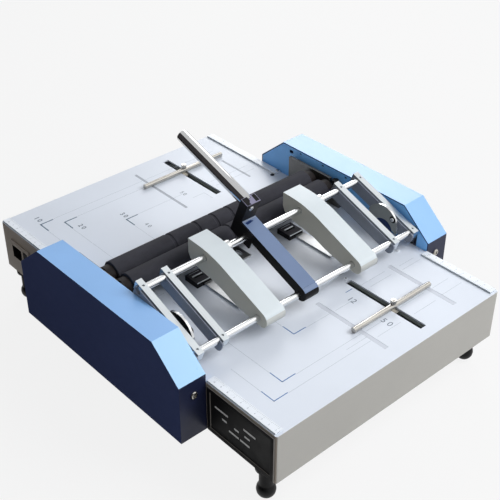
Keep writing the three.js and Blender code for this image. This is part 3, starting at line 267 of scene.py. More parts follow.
METALS = {
    "bright_steel": ("bright_drawn_steel", (226, 228, 230),
                     dict(roughness=0.2, stretch=(0.012, 1, 1), depth=0.003, drift=0.04)),
    "arm_steel": ("bright_square_bar", (222, 228, 232),
                  dict(roughness=0.34, stretch=(1, 0.05, 1), drift=0.05)),
    "chrome": ("polished_chrome", (198, 199, 200),
               dict(roughness=0.08, stretch=(1, 1, 1), grain=12, depth=0.002, drift=0.02)),
    "grey_steel": ("oiled_grey_steel", (132, 130, 126),
                   dict(roughness=0.46, stretch=(1, 0.08, 1), grain=0.5, depth=0.02, drift=0.2)),
    "zinc_steel": ("zinc_plated_sheet", (188, 190, 192),
                   dict(roughness=0.35, stretch=(1, 1, 1), grain=2.5, drift=0.15)),
    "strip_steel": ("bright_spring_strip", (196, 198, 200),
                    dict(roughness=0.45, stretch=(1, 0.08, 1), grain=0.5, drift=0.06)),
    "nickel": ("satin_nickel", (194, 191, 185),
               dict(roughness=0.26, stretch=(0.02, 1, 1), grain=0.5, depth=0.003, drift=0.1)),
    "spring_steel": ("spring_wire", (150, 152, 154), {}),
}
PLASTICS = {
    "foot_rubber": ("foot_rubber_black", (13, 13, 14),
                    dict(roughness=0.4, grain=0.6, depth=0.03, shine=0.2)),
    "head_plastic": ("head_light_grey", (206, 214, 218), dict(roughness=0.4, shine=0.4)),
    "head_flank": ("head_shaded_grey", (182, 181, 171), dict(roughness=0.5, shine=0.3)),
    "head_nose": ("head_nose_grey", (188, 190, 187), dict(roughness=0.42, shine=0.35)),
    "black_plastic": ("black_textured", (21, 21, 22), dict(roughness=0.5, shine=0.12)),
    "slot_plate": ("slot_plate_grey", (196, 204, 200), dict(roughness=0.6, shine=0.2)),
    "panel_edge": ("panel_edge_grey", (98, 94, 90), dict(roughness=0.4)),
    "ruler_white": ("ruler_white_strip", (228, 233, 240), dict(roughness=0.3, grain=0.8, depth=0.01)),
    "ruler_edge": ("ruler_side_grey", (176, 184, 190), dict(roughness=0.5)),
    "gear_plastic": ("acetal_natural", (232, 228, 214), dict(roughness=0.4)),
}
RUBBERS = {"roller_rubber": ("roller_rubber_grey", (51, 51, 57), dict(shine=0.16))}
INKS = {
    "ink_blue": ("ink_blue", (52, 104, 160), {}),
    "ink_grey": ("ink_grey", (158, 168, 178), {}),
    "ink_dark": ("ink_dark", (92, 104, 118), {}),
    "ink_tick": ("ink_tick", (140, 148, 156), {}),
    "ink_pale": ("ink_pale", (196, 196, 194), {}),
    "ink_teal": ("ink_teal", (58, 88, 112), {}),
}
MATERIALS = {}
for kind, rows in (
    (painted, PAINTS), (metal, METALS), (moulded, PLASTICS), (rubbery, RUBBERS), (inked, INKS),
):
    for key, (name, colour, settings) in rows.items():
        MATERIALS[key] = kind(name, shown(*colour), **settings)


# Mesh helpers
def add_object(name, mesh, materials, body, replaces=()):
    mesh.name = name
    mesh.materials.clear()
    for material in materials if isinstance(materials, (list, tuple)) else [materials]:
        mesh.materials.append(MATERIALS[material])
    made = bpy.data.objects.new(name, mesh)
    scene.collection.objects.link(made)
    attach(made, body)
    if replaces:
        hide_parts(*replaces)
    return made


def smoothed(mesh, angle=32):
    mesh.polygons.foreach_set("use_smooth", [True] * len(mesh.polygons))
    mesh.set_sharp_from_angle(angle=math.radians(angle))
    mesh.update()


def to_mesh(form, name):
    mesh = bpy.data.meshes.new(name)
    form.to_mesh(mesh)
    form.free()
    return mesh


def body_of_node(node):
    for body, nodes in frame["record"]["behaviour"]["bodies"].items():
        if node in nodes:
            return body
    return None


def bevelled(made, width, segments=2):
    bevel = made.modifiers.new("edges", "BEVEL")
    bevel.width = width * MM
    bevel.segments = segments
    return bevel


# Angles in degrees: faces this level are one, and edges this sharp are kept and rounded
LEVEL_WITHIN = 1
SHARP_FROM = 40
ROUNDED_FROM = 35
FACE_WEIGHT = 100


def refined(node, materials, edge=0.5, segments=2, pick=None, flat=False):
    """A copy of a CAD node with welded faces and rounded edges, which stands for that node."""
    form = bmesh.new()
    form.from_mesh(frame["nodes"][node].data)
    bmesh.ops.remove_doubles(form, verts=form.verts, dist=WELD)
    bmesh.ops.dissolve_limit(
        form, angle_limit=math.radians(LEVEL_WITHIN), verts=form.verts, edges=form.edges,
        delimit={"NORMAL"})
    mesh = to_mesh(form, node)
    smoothed(mesh, SHARP_FROM)
    made = add_object(f"{node}_finish", mesh, materials, body_of_node(node), [node])
    bevel = bevelled(made, edge, segments)
    bevel.limit_method = "ANGLE"
    bevel.angle_limit = math.radians(ROUNDED_FROM)
    bevel.harden_normals = not flat
    bevel.use_clamp_overlap = True
    if flat:
        level = made.modifiers.new("level_faces", "WEIGHTED_NORMAL")
        level.mode = "FACE_AREA"
        level.weight = FACE_WEIGHT
        level.keep_sharp = False
    if pick:
        for polygon in mesh.polygons:
            polygon.material_index = pick(polygon.normal, polygon.center / MM)
    return made


def dressed(node, material):
    """A CAD node that stays as it is, with a procedural material."""
    target = frame["nodes"][node]
    for slot in target.material_slots:
        slot.material = MATERIALS[material]


def lathe(profile, segments=64):
    """Turns (along, radius) pairs about the X axis; a closed profile makes a hollow ring."""
    form = bmesh.new()
    turns = [2 * math.pi * k / segments for k in range(segments)]
    rings = []
    for along, radius in profile:
        spokes = [(0, 0)]
        if radius:
            spokes = [(radius * math.cos(turn), radius * math.sin(turn)) for turn in turns]
        rings.append([form.verts.new(Vector((along, y, z)) * MM) for y, z in spokes])
    for first, second in zip(rings, rings[1:]):
        for k in range(segments):
            a, b = first[k % len(first)], first[(k + 1) % len(first)]
            c, d = second[(k + 1) % len(second)], second[k % len(second)]
            form.faces.new([v for i, v in enumerate((a, b, c, d)) if v not in (a, b, c, d)[:i]])
    bmesh.ops.recalc_face_normals(form, faces=form.faces)
    mesh = to_mesh(form, "lathe")
    smoothed(mesh)
    return mesh


def moved(mesh, matrix):
    mesh.transform(matrix)
    return mesh


def shifted(x, y, z):
    return Matrix.Translation(Vector((x, y, z)) * MM)


def facing(direction):
    """Turns +X to a direction."""
    return Vector(direction).to_track_quat("X", "Z").to_matrix().to_4x4()


def standing(x, y, z=TABLE_TOP):
    return shifted(x, y, z) @ facing(UP)


def as_mesh(holder):
    bpy.context.view_layer.update()
    return bpy.data.meshes.new_from_object(holder.evaluated_get(bpy.context.evaluated_depsgraph_get()))


class Sink:
    """Collects boxes, flat outlines and digits into one mesh."""

    def __init__(self):
        self.form = bmesh.new()

    def box(self, low, high, turn=None):
        made = bmesh.ops.create_cube(self.form, size=1)["verts"]
        size = [b - a for a, b in zip(low, high)]
        middle = [(a + b) / 2 for a, b in zip(low, high)]
        matrix = shifted(*middle) @ Matrix.Diagonal((*[s * MM for s in size], 1))
        bmesh.ops.transform(self.form, matrix=(turn or Matrix.Identity(4)) @ matrix, verts=made)

    def prism(self, corners, low, high, turn):
        """A flat outline in X and Y, listed anticlockwise, between two heights."""
        rings = []
        for z in (low, high):
            rings.append([self.form.verts.new(turn @ (Vector((x, y, z)) * MM)) for x, y in corners])
        self.form.faces.new(rings[0][::-1])
        self.form.faces.new(rings[1])
        for k in range(len(corners)):
            nxt = (k + 1) % len(corners)
            self.form.faces.new((rings[0][k], rings[0][nxt], rings[1][nxt], rings[1][k]))

    def mesh_in(self, mesh, matrix):
        mesh.transform(matrix)
        self.form.from_mesh(mesh)

    def digits(self, text, size, matrix, thickness=0.04, bold=0):
        curve = bpy.data.curves.new("digits", "FONT")
        curve.body = text
        curve.size = size * MM
        curve.extrude = thickness * MM / 2
        curve.offset = bold * MM
        curve.align_x = "CENTER"
        curve.align_y = "CENTER"
        holder = bpy.data.objects.new("digits", curve)
        scene.collection.objects.link(holder)
        mesh = as_mesh(holder)
        bpy.data.objects.remove(holder)
        self.mesh_in(mesh, matrix)

    def mesh(self, name):
        return to_mesh(self.form, name)


# Cross-head screw, its head's foot at the origin, pointing along +X; shares of height and radius
SCREW_DOME_SHARES = [(0, 0), (0, 0.98), (0.35, 1), (0.75, 0.86), (0.95, 0.5), (1, 0)]
CROSS_FLOOR_SHARE = 0.45
CROSS_OVER_SHARE = 1.5
CROSS_REACH_SHARE = 0.62
CROSS_WIDTH_SHARE = 0.15
SCREW_SEGMENTS = 40
SCREW_SHARP_FROM = 35


def screw_mesh(radius, height):
    dome = [(height * along, radius * out) for along, out in SCREW_DOME_SHARES]
    head = bpy.data.objects.new("screw_head", lathe(dome, SCREW_SEGMENTS))
    reach = radius * CROSS_REACH_SHARE
    wide = radius * CROSS_WIDTH_SHARE
    floor, over = height * CROSS_FLOOR_SHARE, height * CROSS_OVER_SHARE
    helpers = [head]
    for y, z in ((reach, wide), (wide, reach)):
        cutter = Sink()
        cutter.box((floor, -y, -z), (over, y, z))
        cutter_object = bpy.data.objects.new("screw_cutter", cutter.mesh("cutter"))
        scene.collection.objects.link(cutter_object)
        helpers.append(cutter_object)
        cut = head.modifiers.new("cut", "BOOLEAN")
        cut.operation = "DIFFERENCE"
        cut.object = cutter_object
        cut.solver = "EXACT"
    scene.collection.objects.link(head)
    mesh = as_mesh(head)
    for helper in helpers:
        bpy.data.objects.remove(helper)
    smoothed(mesh, SCREW_SHARP_FROM)
    return mesh


def screw(name, master, place, direction, body, material="nickel", spin=0):
    mesh = master.copy()
    turn = Matrix.Rotation(math.radians(spin), 4, "X")
    moved(mesh, shifted(*place) @ facing(direction) @ turn)
    return add_object(name, mesh, material, body)


make_camera()

# CAD nodes that stay as they are
DRESSED = {
    "bottom_plate": "zinc_steel", "left_side_frame": "zinc_steel", "right_side_frame": "zinc_steel",
    "drive_motor": "zinc_steel", "knife_solenoid": "black_steel", "return_spring": "spring_steel",
    "left_magazine": "zinc_steel", "right_magazine": "zinc_steel", "front_roller_gear": "gear_plastic",
    "rear_roller_gear": "gear_plastic", "idler_gear": "gear_plastic", "motor_pinion": "bright_steel",
    "fold_knife": "bright_steel", "knife_carrier": "zinc_steel",
}
for node, material in DRESSED.items():
    dressed(node, material)

# How far a face leans to an axis: from hardly to nearly wholly
HARDLY, SLANTED, PARTLY, MOSTLY, NEARLY = 0.2, 0.3, 0.5, 0.7, 0.85
OUTER_BAND = 1


# Base: 0 top and inside; 1 front, rear and right, a darker warmer painted shade; 2 left, a deeper painted
# shade
def base_paint(normal, centre):
    if abs(normal.z) > PARTLY:
        return 0
    if centre.x < OUTER_BAND - HALF_WIDTH:
        return 2
    return 1 if abs(centre.y) > HALF_DEPTH - OUTER_BAND or centre.x > HALF_WIDTH - OUTER_BAND else 0


refined("base_shell", ["base_paint", "base_side", "base_flank"], edge=0.9, segments=3,
        pick=base_paint, flat=True)

# Ball feet, turned from (height, radius) pairs
FOOT_X = 160
FOOT_Y = 224
FOOT_SEGMENTS = 56
FOOT_PROFILE = [
    (0, 0), (0, 2.6), (0.4, 4.4), (1.6, 6.6), (3.6, 8.5), (6.2, 9.9), (10, 10.5), (13.2, 10.0),
    (15.6, 8.9), (17, 8.0), (17.8, 7.7), (37.5, 7.7), (38.2, 8.2), (38.9, 11.2), (39.4, 11.9),
    (42.5, 12), (42.9, 11.6), (42.9, 0),
]
for end, y in (("front", -FOOT_Y), ("rear", FOOT_Y)):
    for side, outward in SIDES.items():
        node = f"foot_{end}_{side}"
        ball = moved(lathe(FOOT_PROFILE, FOOT_SEGMENTS), standing(outward * FOOT_X, y, 0))
        add_object(f"{node}_ball", ball, "foot_rubber", "base", [node])

# Rulers with ticks and numbers
TICK_PITCH = 2
TICKS_PER_NUMBER = 5
TICK_START = 3
TICK_FROM_EDGE = 0.5
TICK_LENGTH = 1.8
LONG_TICK_LENGTH = 3.2
TICK_HALF = 0.12
RULER_END = 4
RULER_ROUNDING = 0.25
RULER_NUMBER_IN = 6.2
RULER_NUMBER_SIZE = 3
INK = 0.05
READ_FROM_LEFT = Matrix.Rotation(math.radians(-90), 4, "Z")
for end in ("front", "rear"):
    for side, outward in SIDES.items():
        node = f"ruler_{end}_{side}"
        # The rulers' sides are grey, a painted shade of the white strip
        refined(node, ["ruler_white", "ruler_edge"], edge=RULER_ROUNDING,
                pick=lambda normal, centre: 1 if abs(normal.x) > PARTLY else 0)
        low, high = (Vector(c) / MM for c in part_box(node))
        ticks = Sink()
        inner = high.x if side == "left" else low.x
        for k in range(int((high.y - low.y - RULER_END) / TICK_PITCH)):
            y = low.y + TICK_START + k * TICK_PITCH
            long_tick = k % TICKS_PER_NUMBER == 0
            reach = LONG_TICK_LENGTH if long_tick else TICK_LENGTH
            x0, x1 = sorted((inner + outward * TICK_FROM_EDGE, inner + outward * (TICK_FROM_EDGE + reach)))
            ticks.box((x0, y - TICK_HALF, high.z), (x1, y + TICK_HALF, high.z + INK))
            if long_tick and y < high.y - RULER_END:
                place = shifted(inner + outward * RULER_NUMBER_IN, y, high.z)
                ticks.digits(str(1 + k // TICKS_PER_NUMBER), RULER_NUMBER_SIZE, place @ READ_FROM_LEFT)
        add_object(f"{node}_scale", ticks.mesh("scale"), "ink_tick", "base")

# Print on the table, in front (-1) and behind (1): sheet corners, thin lines, plain numbers
blue_print = Sink()
teal_print = Sink()
grey_print = Sink()
number_print = Sink()


def flat(sink, x0, x1, y0, y1):
    sink.box((min(x0, x1), min(y0, y1), TABLE_TOP), (max(x0, x1), max(y0, y1), TABLE_TOP + INK))


# x, y, leg's length, then where the thin line along the table stops in front and behind
MARKS = [(-139.5, 211.5, 19, -147, 147), (-114.3, 196.5, 19, -20, 31), (-53.5, 150.5, 18, -12, 31)]
MARK_INK = {-1: (blue_print, 1.1), 1: (teal_print, 1.6)}
SIDE_LINE_START = 19
THIN_LINE = 0.35
for end, (ink, line) in MARK_INK.items():
    for x, y, leg, front_stop, rear_stop in MARKS:
        flat(ink, x, x + leg, end * (y - line), end * y)
        flat(ink, x, x + line, end * (y - leg), end * y)
        stop = rear_stop if end > 0 else front_stop
        flat(grey_print, x, x + THIN_LINE, end * (y - SIDE_LINE_START), stop)
THIN_ROWS = {
    -1: [(-120, 0, 212), (10, 47, 212.4), (69, 105, 212.8), (118, 153, 211), (-95, 0, 197.2),
         (8, 32, 198), (66, 106, 195), (120, 148, 195.8), (-36, 0, 151), (9, 36, 151.4),
         (70, 105, 147.5), (122, 153, 150), (61.4, 104, 138.3), (125, 150, 142.6), (-30, 2, 205),
         (8, 36, 190)],
    1: [(-119, 70, 211.5), (-94, 70, 196.5), (-36, 40, 150.5), (60, 140, 211.5), (80, 140, 196.5),
        (84, 150, 150.5), (84, 150, 138)],
}
for end, rows in THIN_ROWS.items():
    for x0, x1, y in rows:
        flat(grey_print, x0, x1, end * y, end * (y - THIN_LINE))
SHORT_LINES = [
    (blue_print, 41, 52, -136.6, -135.7), (grey_print, 41.5, 60, 134.5, 134.1),
    (grey_print, 60, 60.4, 117.5, 134.5), (grey_print, -159, -111, -1.4, -1.05),
]
for line in SHORT_LINES:
    flat(*line)
NUMBERS = [
    ("12", 36, -150.5, 11, 0), ("5 0", 35.5, -202.5, 11, 0), ("1 0", -134.5, 223, 9, 0.25),
    ("2 0", -103, 173, 9, 0.15), ("3 0", -49, 160, 9, 0.15), ("4 0", -40.5, 121.5, 8, 0),
    ("5 0", 39, 151, 8, 0),
]
for text, x, y, size, bold in NUMBERS:
    number_print.digits(text, size, shifted(x, y, TABLE_TOP + INK / 2) @ READ_FROM_LEFT, bold=bold)
add_object("table_print_numbers", number_print.mesh("numbers"), "ink_dark", "base")
add_object("table_print_blue", blue_print.mesh("blue"), "ink_blue", "base")
add_object("table_print_teal", teal_print.mesh("teal"), "ink_teal", "base")
add_object("table_print_grey", grey_print.mesh("grey"), "ink_grey", "base")

# Soft grey floors of the pressed grooves, painted shade, darker behind: middle, width, front and rear ends
GROOVE_BOTTOM = 105.9
GROOVE_LEVEL = 106.38
GROOVE_EDGE = 0.25
TABLE_GROOVES = {
    "front_left": (3.4, 5.4, -231, -128, "groove_pale"),
    "front_right": (115.8, 5.6, -231, -134, "groove_pale"),
    "rear_left": (20.6, 3.6, 121, 230, "groove_dark"),
    "rear_right": (132, 3, 125, 183, "groove_dark"),
}
for name, (x, width, y0, y1, colour) in TABLE_GROOVES.items():
    reach = width / 2 - GROOVE_EDGE
    strip = Sink()
    strip.box((x - reach, y0 + GROOVE_EDGE, GROOVE_BOTTOM), (x + reach, y1 - GROOVE_EDGE, GROOVE_LEVEL))
    add_object(f"{name}_groove_shade_strip", strip.mesh("strip"), colour, "base")

# Pin in a pale ring beside the front gauge slot's end
PIN_PLACE = (60.4, -117.7)
PIN_RING = [(0, 0.9), (0, 3), (0.5, 3), (0.8, 2.6), (0.8, 1.2), (0.3, 0.9), (0, 0.9)]
PIN = [(0, 0), (0, 0.88), (0.45, 0.88), (0.5, 0.7), (0.5, 0)]
PIN_SEGMENTS = 32
SMALL_SEGMENTS = 40
ring = moved(lathe(PIN_RING, SMALL_SEGMENTS), standing(*PIN_PLACE))
add_object("slot_pin_ring", ring, "ruler_white", "base")
pin = moved(lathe(PIN, PIN_SEGMENTS), standing(*PIN_PLACE))
add_object("slot_pin", pin, "foot_rubber", "base")

# Covers in blues: light top, a painted highlight on the left front slope, painted light on the inner side
# Navy outer sides and darker navy ends are painted shade of the same blue
COVER_MIDDLE = 188
COVER_PAINTS_AND_SHADES = ["sky_paint", "inner_paint", "navy_paint", "navy_end", "sky_bright"]
TONGUE_START = -21


# 0 top, 1 inner side painted light, 2 outer side and 3 ends painted shade, 4 painted highlight on the left
# front slope
def cover_paint_and_shade(normal, centre):
    if normal.y < -SLANTED and normal.z > SLANTED and centre.x < 0:
        return 4
    if normal.z > HARDLY:
        return 0
    if abs(normal.x) > MOSTLY:
        return 1 if abs(centre.x) < COVER_MIDDLE else 2
    return 3


# Anvils: 0 sides, 1 the bright tongue, 2 the top, a lighter grey than the sides
def anvil_steel(normal, centre):
    if centre.y < TONGUE_START:
        return 1
    return 2 if normal.z > MOSTLY else 0


# Stop brackets: 0 inward face, 1 rim in brighter steel, a painted highlight, 2 outward face in black,
# painted shade
def bracket_highlight_and_shade(normal, centre):
    if abs(normal.x) < PARTLY:
        return 1
    return 2 if normal.x * centre.x > 0 else 0


for side in SIDES:
    refined(f"{side}_cover", COVER_PAINTS_AND_SHADES, edge=2, segments=4, pick=cover_paint_and_shade)
    refined(f"{side}_bearing_plate", "grey_steel", edge=0.4)
    refined(f"{side}_stop_bracket", ["dull_steel", "bright_steel", "black_steel"],
            edge=0.4, pick=bracket_highlight_and_shade)
    refined(f"{side}_anvil", ["black_steel", "strip_steel", "anvil_top"],
            edge=0.35, pick=anvil_steel)
refined("centre_paper_stop", "zinc_steel", edge=0.3)

# Dark seams along the covers' inner edges: (y, z) corners of the side's outline
SEAM_WIDTH = 1.3
SEAM_SIDE = 171.3
SEAM_SUNK = 0.06
SEAM_PROUD = 0.2
SEAM_CORNERS = [
    (-145.7, 106.6), (-145.7, 117.6), (-105, 152.8), (103.5, 152.8), (144.4, 117.6), (144.4, 106.6),
]
for side, outward in SIDES.items():
    seam = Sink()
    for (y0, z0), (y1, z1) in zip(SEAM_CORNERS, SEAM_CORNERS[1:]):
        length = math.hypot(y1 - y0, z1 - z0)
        turn = shifted(0, y0, z0) @ Matrix.Rotation(math.atan2(z1 - z0, y1 - y0), 4, "X")
        x0, x1 = sorted((outward * (SEAM_SIDE - SEAM_SUNK), outward * (SEAM_SIDE + SEAM_PROUD)))
        seam.box((x0, 0, -SEAM_WIDTH), (x1, length, 0), turn)
    add_object(f"{side}_cover_seam", seam.mesh("seam"), "seam_paint", "base")

# Cover screws
COVER_SCREW_X = 187
COVER_SCREW_Z = 99
COVER_ENDS = {"front": (-145.7, (0, -1, 0)), "rear": (144.4, (0, 1, 0))}
cover_screw = screw_mesh(radius=4.3, height=2.2)
for side, outward in SIDES.items():
    for end, (y, direction) in COVER_ENDS.items():
        screw(f"{side}_cover_screw_{end}", cover_screw, (outward * COVER_SCREW_X, y, COVER_SCREW_Z),
              direction, "base", spin=25)

# Screw on each stop bracket at (y, z), over a black washer
BRACKET_SIDE = 154.6
BRACKET_SCREW = (-102.5, 138.6)
BRACKET_WASHER = [(0, 2), (0, 4.4), (0.5, 4.4), (0.7, 4.1), (0.7, 2), (0, 2)]
WASHER_LEVEL = 0.6
bracket_screw = screw_mesh(radius=2.6, height=1.6)
for side, outward in SIDES.items():
    y, z = BRACKET_SCREW
    face = outward * BRACKET_SIDE
    inward = (-outward, 0, 0)
    washer = moved(lathe(BRACKET_WASHER, SMALL_SEGMENTS), shifted(face, y, z) @ facing(inward))
    add_object(f"{side}_bracket_washer", washer, "black_steel", "base")
    screw(f"{side}_bracket_screw", bracket_screw, (face - outward * WASHER_LEVEL, y, z), inward, "base",
          "bright_steel", spin=20)

# Small screws on the table, black discs by the rulers' ends as painted shadow, and the rulers' runs beside
# the covers
TABLE_SCREW = (147, -121, TABLE_TOP)
RULER_RUN = (107, 146.3)
RULER_SCREW = (167.2, 110)
SHADOW_DISC_PLACE = (156.8, 108.6)
SHADOW_DISC_PROFILE = [(0, 0), (0, 2.6), (0.6, 2.6), (0.9, 2.3), (0.9, 1.3), (0.5, 1), (0.5, 0)]
table_screw = screw_mesh(radius=2.4, height=1.7)
# The front screw is white all over, a painted highlight on a screw head
screw("table_screw_front", table_screw, TABLE_SCREW, UP, "base", "ruler_white", spin=35)
ruler_low, ruler_high = (Vector(c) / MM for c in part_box("ruler_rear_right"))
for side, outward in SIDES.items():
    run = Sink()
    x0, x1 = sorted((outward * ruler_low.x, outward * ruler_high.x))
    run.box((x0, RULER_RUN[0], ruler_low.z), (x1, RULER_RUN[1], ruler_high.z))
    strip = add_object(f"ruler_run_{side}", run.mesh("run"), "ruler_white", "base")
    bevelled(strip, RULER_ROUNDING)
    x, y = RULER_SCREW
    screw(f"ruler_screw_{side}", table_screw, (outward * x, y, ruler_high.z), UP, "base", "chrome", spin=35)
    x, y = SHADOW_DISC_PLACE
    bush = moved(lathe(SHADOW_DISC_PROFILE, SMALL_SEGMENTS), standing(outward * x, y))
    add_object(f"{side}_painted_shadow_disc", bush, "foot_rubber", "base")

# Navy sheet in each stop bracket's round plate, painted shade of the cover's inner side behind it: an arc
# over a slanted line, (y, z)
INSET_CENTRE = (-88.5, 119)
INSET_RADIUS = 14
INSET_STEPS = 25
INSET_STEP = 8
INSET_BACK = (-66, 133.5)
INSET_FRONT = (-104, 119.5)
INSET_DROP = 6
INSET_SUNK = 0.15
INSET_PROUD = 0.3
for side, outward in SIDES.items():
    form = bmesh.new()
    rings = []
    for x in (BRACKET_SIDE - INSET_SUNK, BRACKET_SIDE + INSET_PROUD):
        ring = []
        for k in range(INSET_STEPS):
            turn = math.radians((k - 1) * INSET_STEP)
            y = INSET_CENTRE[0] + INSET_RADIUS * math.cos(turn)
            z = INSET_CENTRE[1] + INSET_RADIUS * math.sin(turn)
            rise, run = (INSET_BACK[i] - INSET_FRONT[i] for i in (1, 0))
            low = INSET_FRONT[1] + (y - INSET_FRONT[0]) * rise / run
            ring.append(form.verts.new(Vector((outward * x, y, max(z, low - INSET_DROP))) * MM))
        rings.append(ring)
    form.faces.new(rings[0])
    form.faces.new(rings[1][::-1])
    for k in range(INSET_STEPS):
        nxt = (k + 1) % INSET_STEPS
        form.faces.new((rings[0][k], rings[0][nxt], rings[1][nxt], rings[1][k]))
    bmesh.ops.remove_doubles(form, verts=form.verts, dist=WELD)
    bmesh.ops.recalc_face_normals(form, faces=form.faces)
    add_object(f"{side}_bracket_painted_shade", to_mesh(form, "inset"), "seam_paint", "base")

# Staple formers: a bright die in each anvil's slot, a rib behind it and a bead along the front edge
ANVIL_TOP = 113.5
DIE = [(-7.2, 0), (-7.2, 1), (-6.9, 1.3), (6.9, 1.3), (7.2, 1), (7.2, 0)]
DIE_Y = -6.1
DIE_DROP = 0.8
# Half width, front and rear, bottom and top against the anvil's top
FORMER_BARS = [(7.4, -1.2, -0.3, -0.3, 0.2), (10.6, -20.1, -19.2, -0.9, 0.1)]
FORMER_ROUNDING = 0.25
for side, x in zip(SIDES, HEAD_XS):
    former = Sink()
    former.mesh_in(lathe(DIE, SMALL_SEGMENTS), shifted(x, DIE_Y, ANVIL_TOP - DIE_DROP))
    for half, y0, y1, low, high in FORMER_BARS:
        former.box((x - half, y0, ANVIL_TOP + low), (x + half, y1, ANVIL_TOP + high))
    bevelled(add_object(f"{side}_staple_former", former.mesh("former"), "arm_steel", "base"),
             FORMER_ROUNDING)

# Panel with unlettered bars (front end, rear end, height), inlet and switch
PANEL_FACE = -172.1
INLET_FACE = -171.2
PANEL_BARS = [
    (-180, -160, 84.2), (-178, -171, 75), (-212, -198, 66.2), (-196, -181.4, 66.2), (-196.2, -189.3, 75),
    (-220.5, -203, 84.2), (-212.3, -204.7, 75.6),
]
PANEL_BAR_HALF = 1.2
PANEL_BAR_SUNK = 0.05
PANEL_BAR_PROUD = 0.1
refined("side_panel", ["black_plastic", "panel_edge"], edge=0.5,
        pick=lambda normal, centre: 1 if abs(normal.x) < PARTLY else 0)
marks = Sink()
for y0, y1, z in PANEL_BARS:
    marks.box((PANEL_FACE - PANEL_BAR_SUNK, y0, z - PANEL_BAR_HALF),
              (PANEL_FACE + PANEL_BAR_PROUD, y1, z + PANEL_BAR_HALF))
add_object("panel_marks", marks.mesh("marks"), "ink_pale", "base")
# The inlet's flange is in the base's left-wall painted shade, the rest black
refined("mains_inlet", ["black_plastic", "base_flank"], edge=0.4,
        pick=lambda normal, centre: 1 if centre.x < INLET_FACE else 0)
refined("power_switch", "black_plastic", edge=0.3)

# Rods: (along, radius), with a collar on the rear rod beside each head
ROD_RADIUS = 4
ROD_LEFT_END = [(-168.5, 3.4), (-167.9, ROD_RADIUS)]
ROD_RIGHT_END = [(167.9, ROD_RADIUS), (168.5, 3.4)]
COLLAR_GAP = 0.3
COLLAR = [(0, ROD_RADIUS), (0, 6.6), (0.4, 7), (7.6, 7), (8, 6.6), (8, ROD_RADIUS)]
front_rod = [
    (-182, 0), (-182, 2.6), (-181.6, 3), (-168.5, 3), *ROD_LEFT_END, *ROD_RIGHT_END,
    (168.5, 3), (197, 3), (197, 4.9), (200, 4.9), (200, 0),
]
rear_rod = [(-168.5, 0), *ROD_LEFT_END]
for x in HEAD_XS:
    start = x + HEAD_WIDTH / 2 + COLLAR_GAP
    rear_rod += [(start + along, radius) for along, radius in COLLAR]
rear_rod += [*ROD_RIGHT_END, (168.5, 0)]
RODS = {"front_rod": (front_rod, PIVOT_Y, PIVOT_Z), "rear_rod": (rear_rod, REAR_ROD_Y, REAR_ROD_Z)}
for name, (profile, y, z) in RODS.items():
    bar = moved(lathe(profile), shifted(0, y, z))
    add_object(f"{name}_bar", bar, "bright_steel", "lever", [name])

# Arms, webs, heads, lever; a roof is what faces up along the lever's tilt
LEVER_TILT = math.radians(21.5)
LEVER_UP = Vector((0, -math.sin(LEVER_TILT), math.cos(LEVER_TILT)))
LEVER_ROOF = 0.8
NOSE_BELOW = 0.45


# Heads: 0 top; 1 flanks and 2 nose darker and warmer, painted shade
def head_grey_and_shade(normal, centre):
    if abs(normal.x) > PARTLY:
        return 1
    return 2 if normal.y < -SLANTED and normal.z < NOSE_BELOW else 0


for arm in ("left_outer", "left_inner", "right_inner", "right_outer"):
    refined(f"{arm}_arm", "arm_steel", edge=0.5)
    refined(f"{arm}_web", "slate_steel", edge=0.25)
for side in SIDES:
    refined(f"{side}_head", ["head_plastic", "head_flank", "head_nose"], edge=1,
            segments=3, pick=head_grey_and_shade)
# The black channel's and socket's tops are a lighter blue-grey, a painted reflection of the sky
refined("lever_channel", ["black_steel", "lever_top"], edge=0.7, segments=3,
        pick=lambda normal, centre: 1 if normal.dot(LEVER_UP) > LEVER_ROOF else 0)
refined("lever_socket", ["black_steel", "socket_top"], edge=0.6, segments=3,
        pick=lambda normal, centre: 1 if normal.z > NEARLY else 0)

# Painted shade in a notch and a painted highlight along an edge on the channel's roof, painted shadow on
# the socket's top, its clamp screw in front
LEVER_REAR = shifted(-11, -31.01, 177.02) @ Matrix.Rotation(LEVER_TILT, 4, "X")
LEVER_NOTCH = [(-8, -3.6), (-7, -6.4), (-2.6, -6), (3.4, -4.8), (0.2, -2.6), (-5.9, -3)]
LEVER_EDGE = [(-9.4, -1.5), (9.4, -1.5), (9.4, -0.7), (-9.4, -0.7)]
SOCKET_LEFT = [(-9.4, 0.8), (-3.6, 0.8), (-3.6, 4), (-1.6, 6), (-1.6, 11.5), (-9.4, 11.5)]
SOCKET_RIGHT = [(4, 1.8), (9.4, 1.8), (9.4, 11.5), (4.6, 11.5)]
# Outlines, bottom and top over the channel's roof, material, slot
LEVER_PAINTED_LIGHT = {
    "lever_notch": ([LEVER_NOTCH], -0.5, 0.04, "seam_paint", None),
    "lever_worn_edge": ([LEVER_EDGE], -0.5, 0.03, "edge_grey", None),
    "socket_top_shade": ([SOCKET_LEFT, SOCKET_RIGHT], 25.5, 26.04, "black_steel", "black_steel"),
}
for name, (outlines, low, high, material, slot) in LEVER_PAINTED_LIGHT.items():
    shade = Sink()
    for outline in outlines:
        shade.prism(outline, low, high, LEVER_REAR)
    add_object(name, shade.mesh("shade"), material, "lever")
SOCKET_SCREW = (-2.4, 0.3, 19)
direction = LEVER_REAR.to_3x3() @ Vector((0, -1, 0))
place = (LEVER_REAR @ (Vector(SOCKET_SCREW) * MM)) / MM
socket_screw = screw_mesh(radius=3.2, height=1.6)
screw("socket_screw", socket_screw, place, direction, "lever", "bright_steel", spin=15)

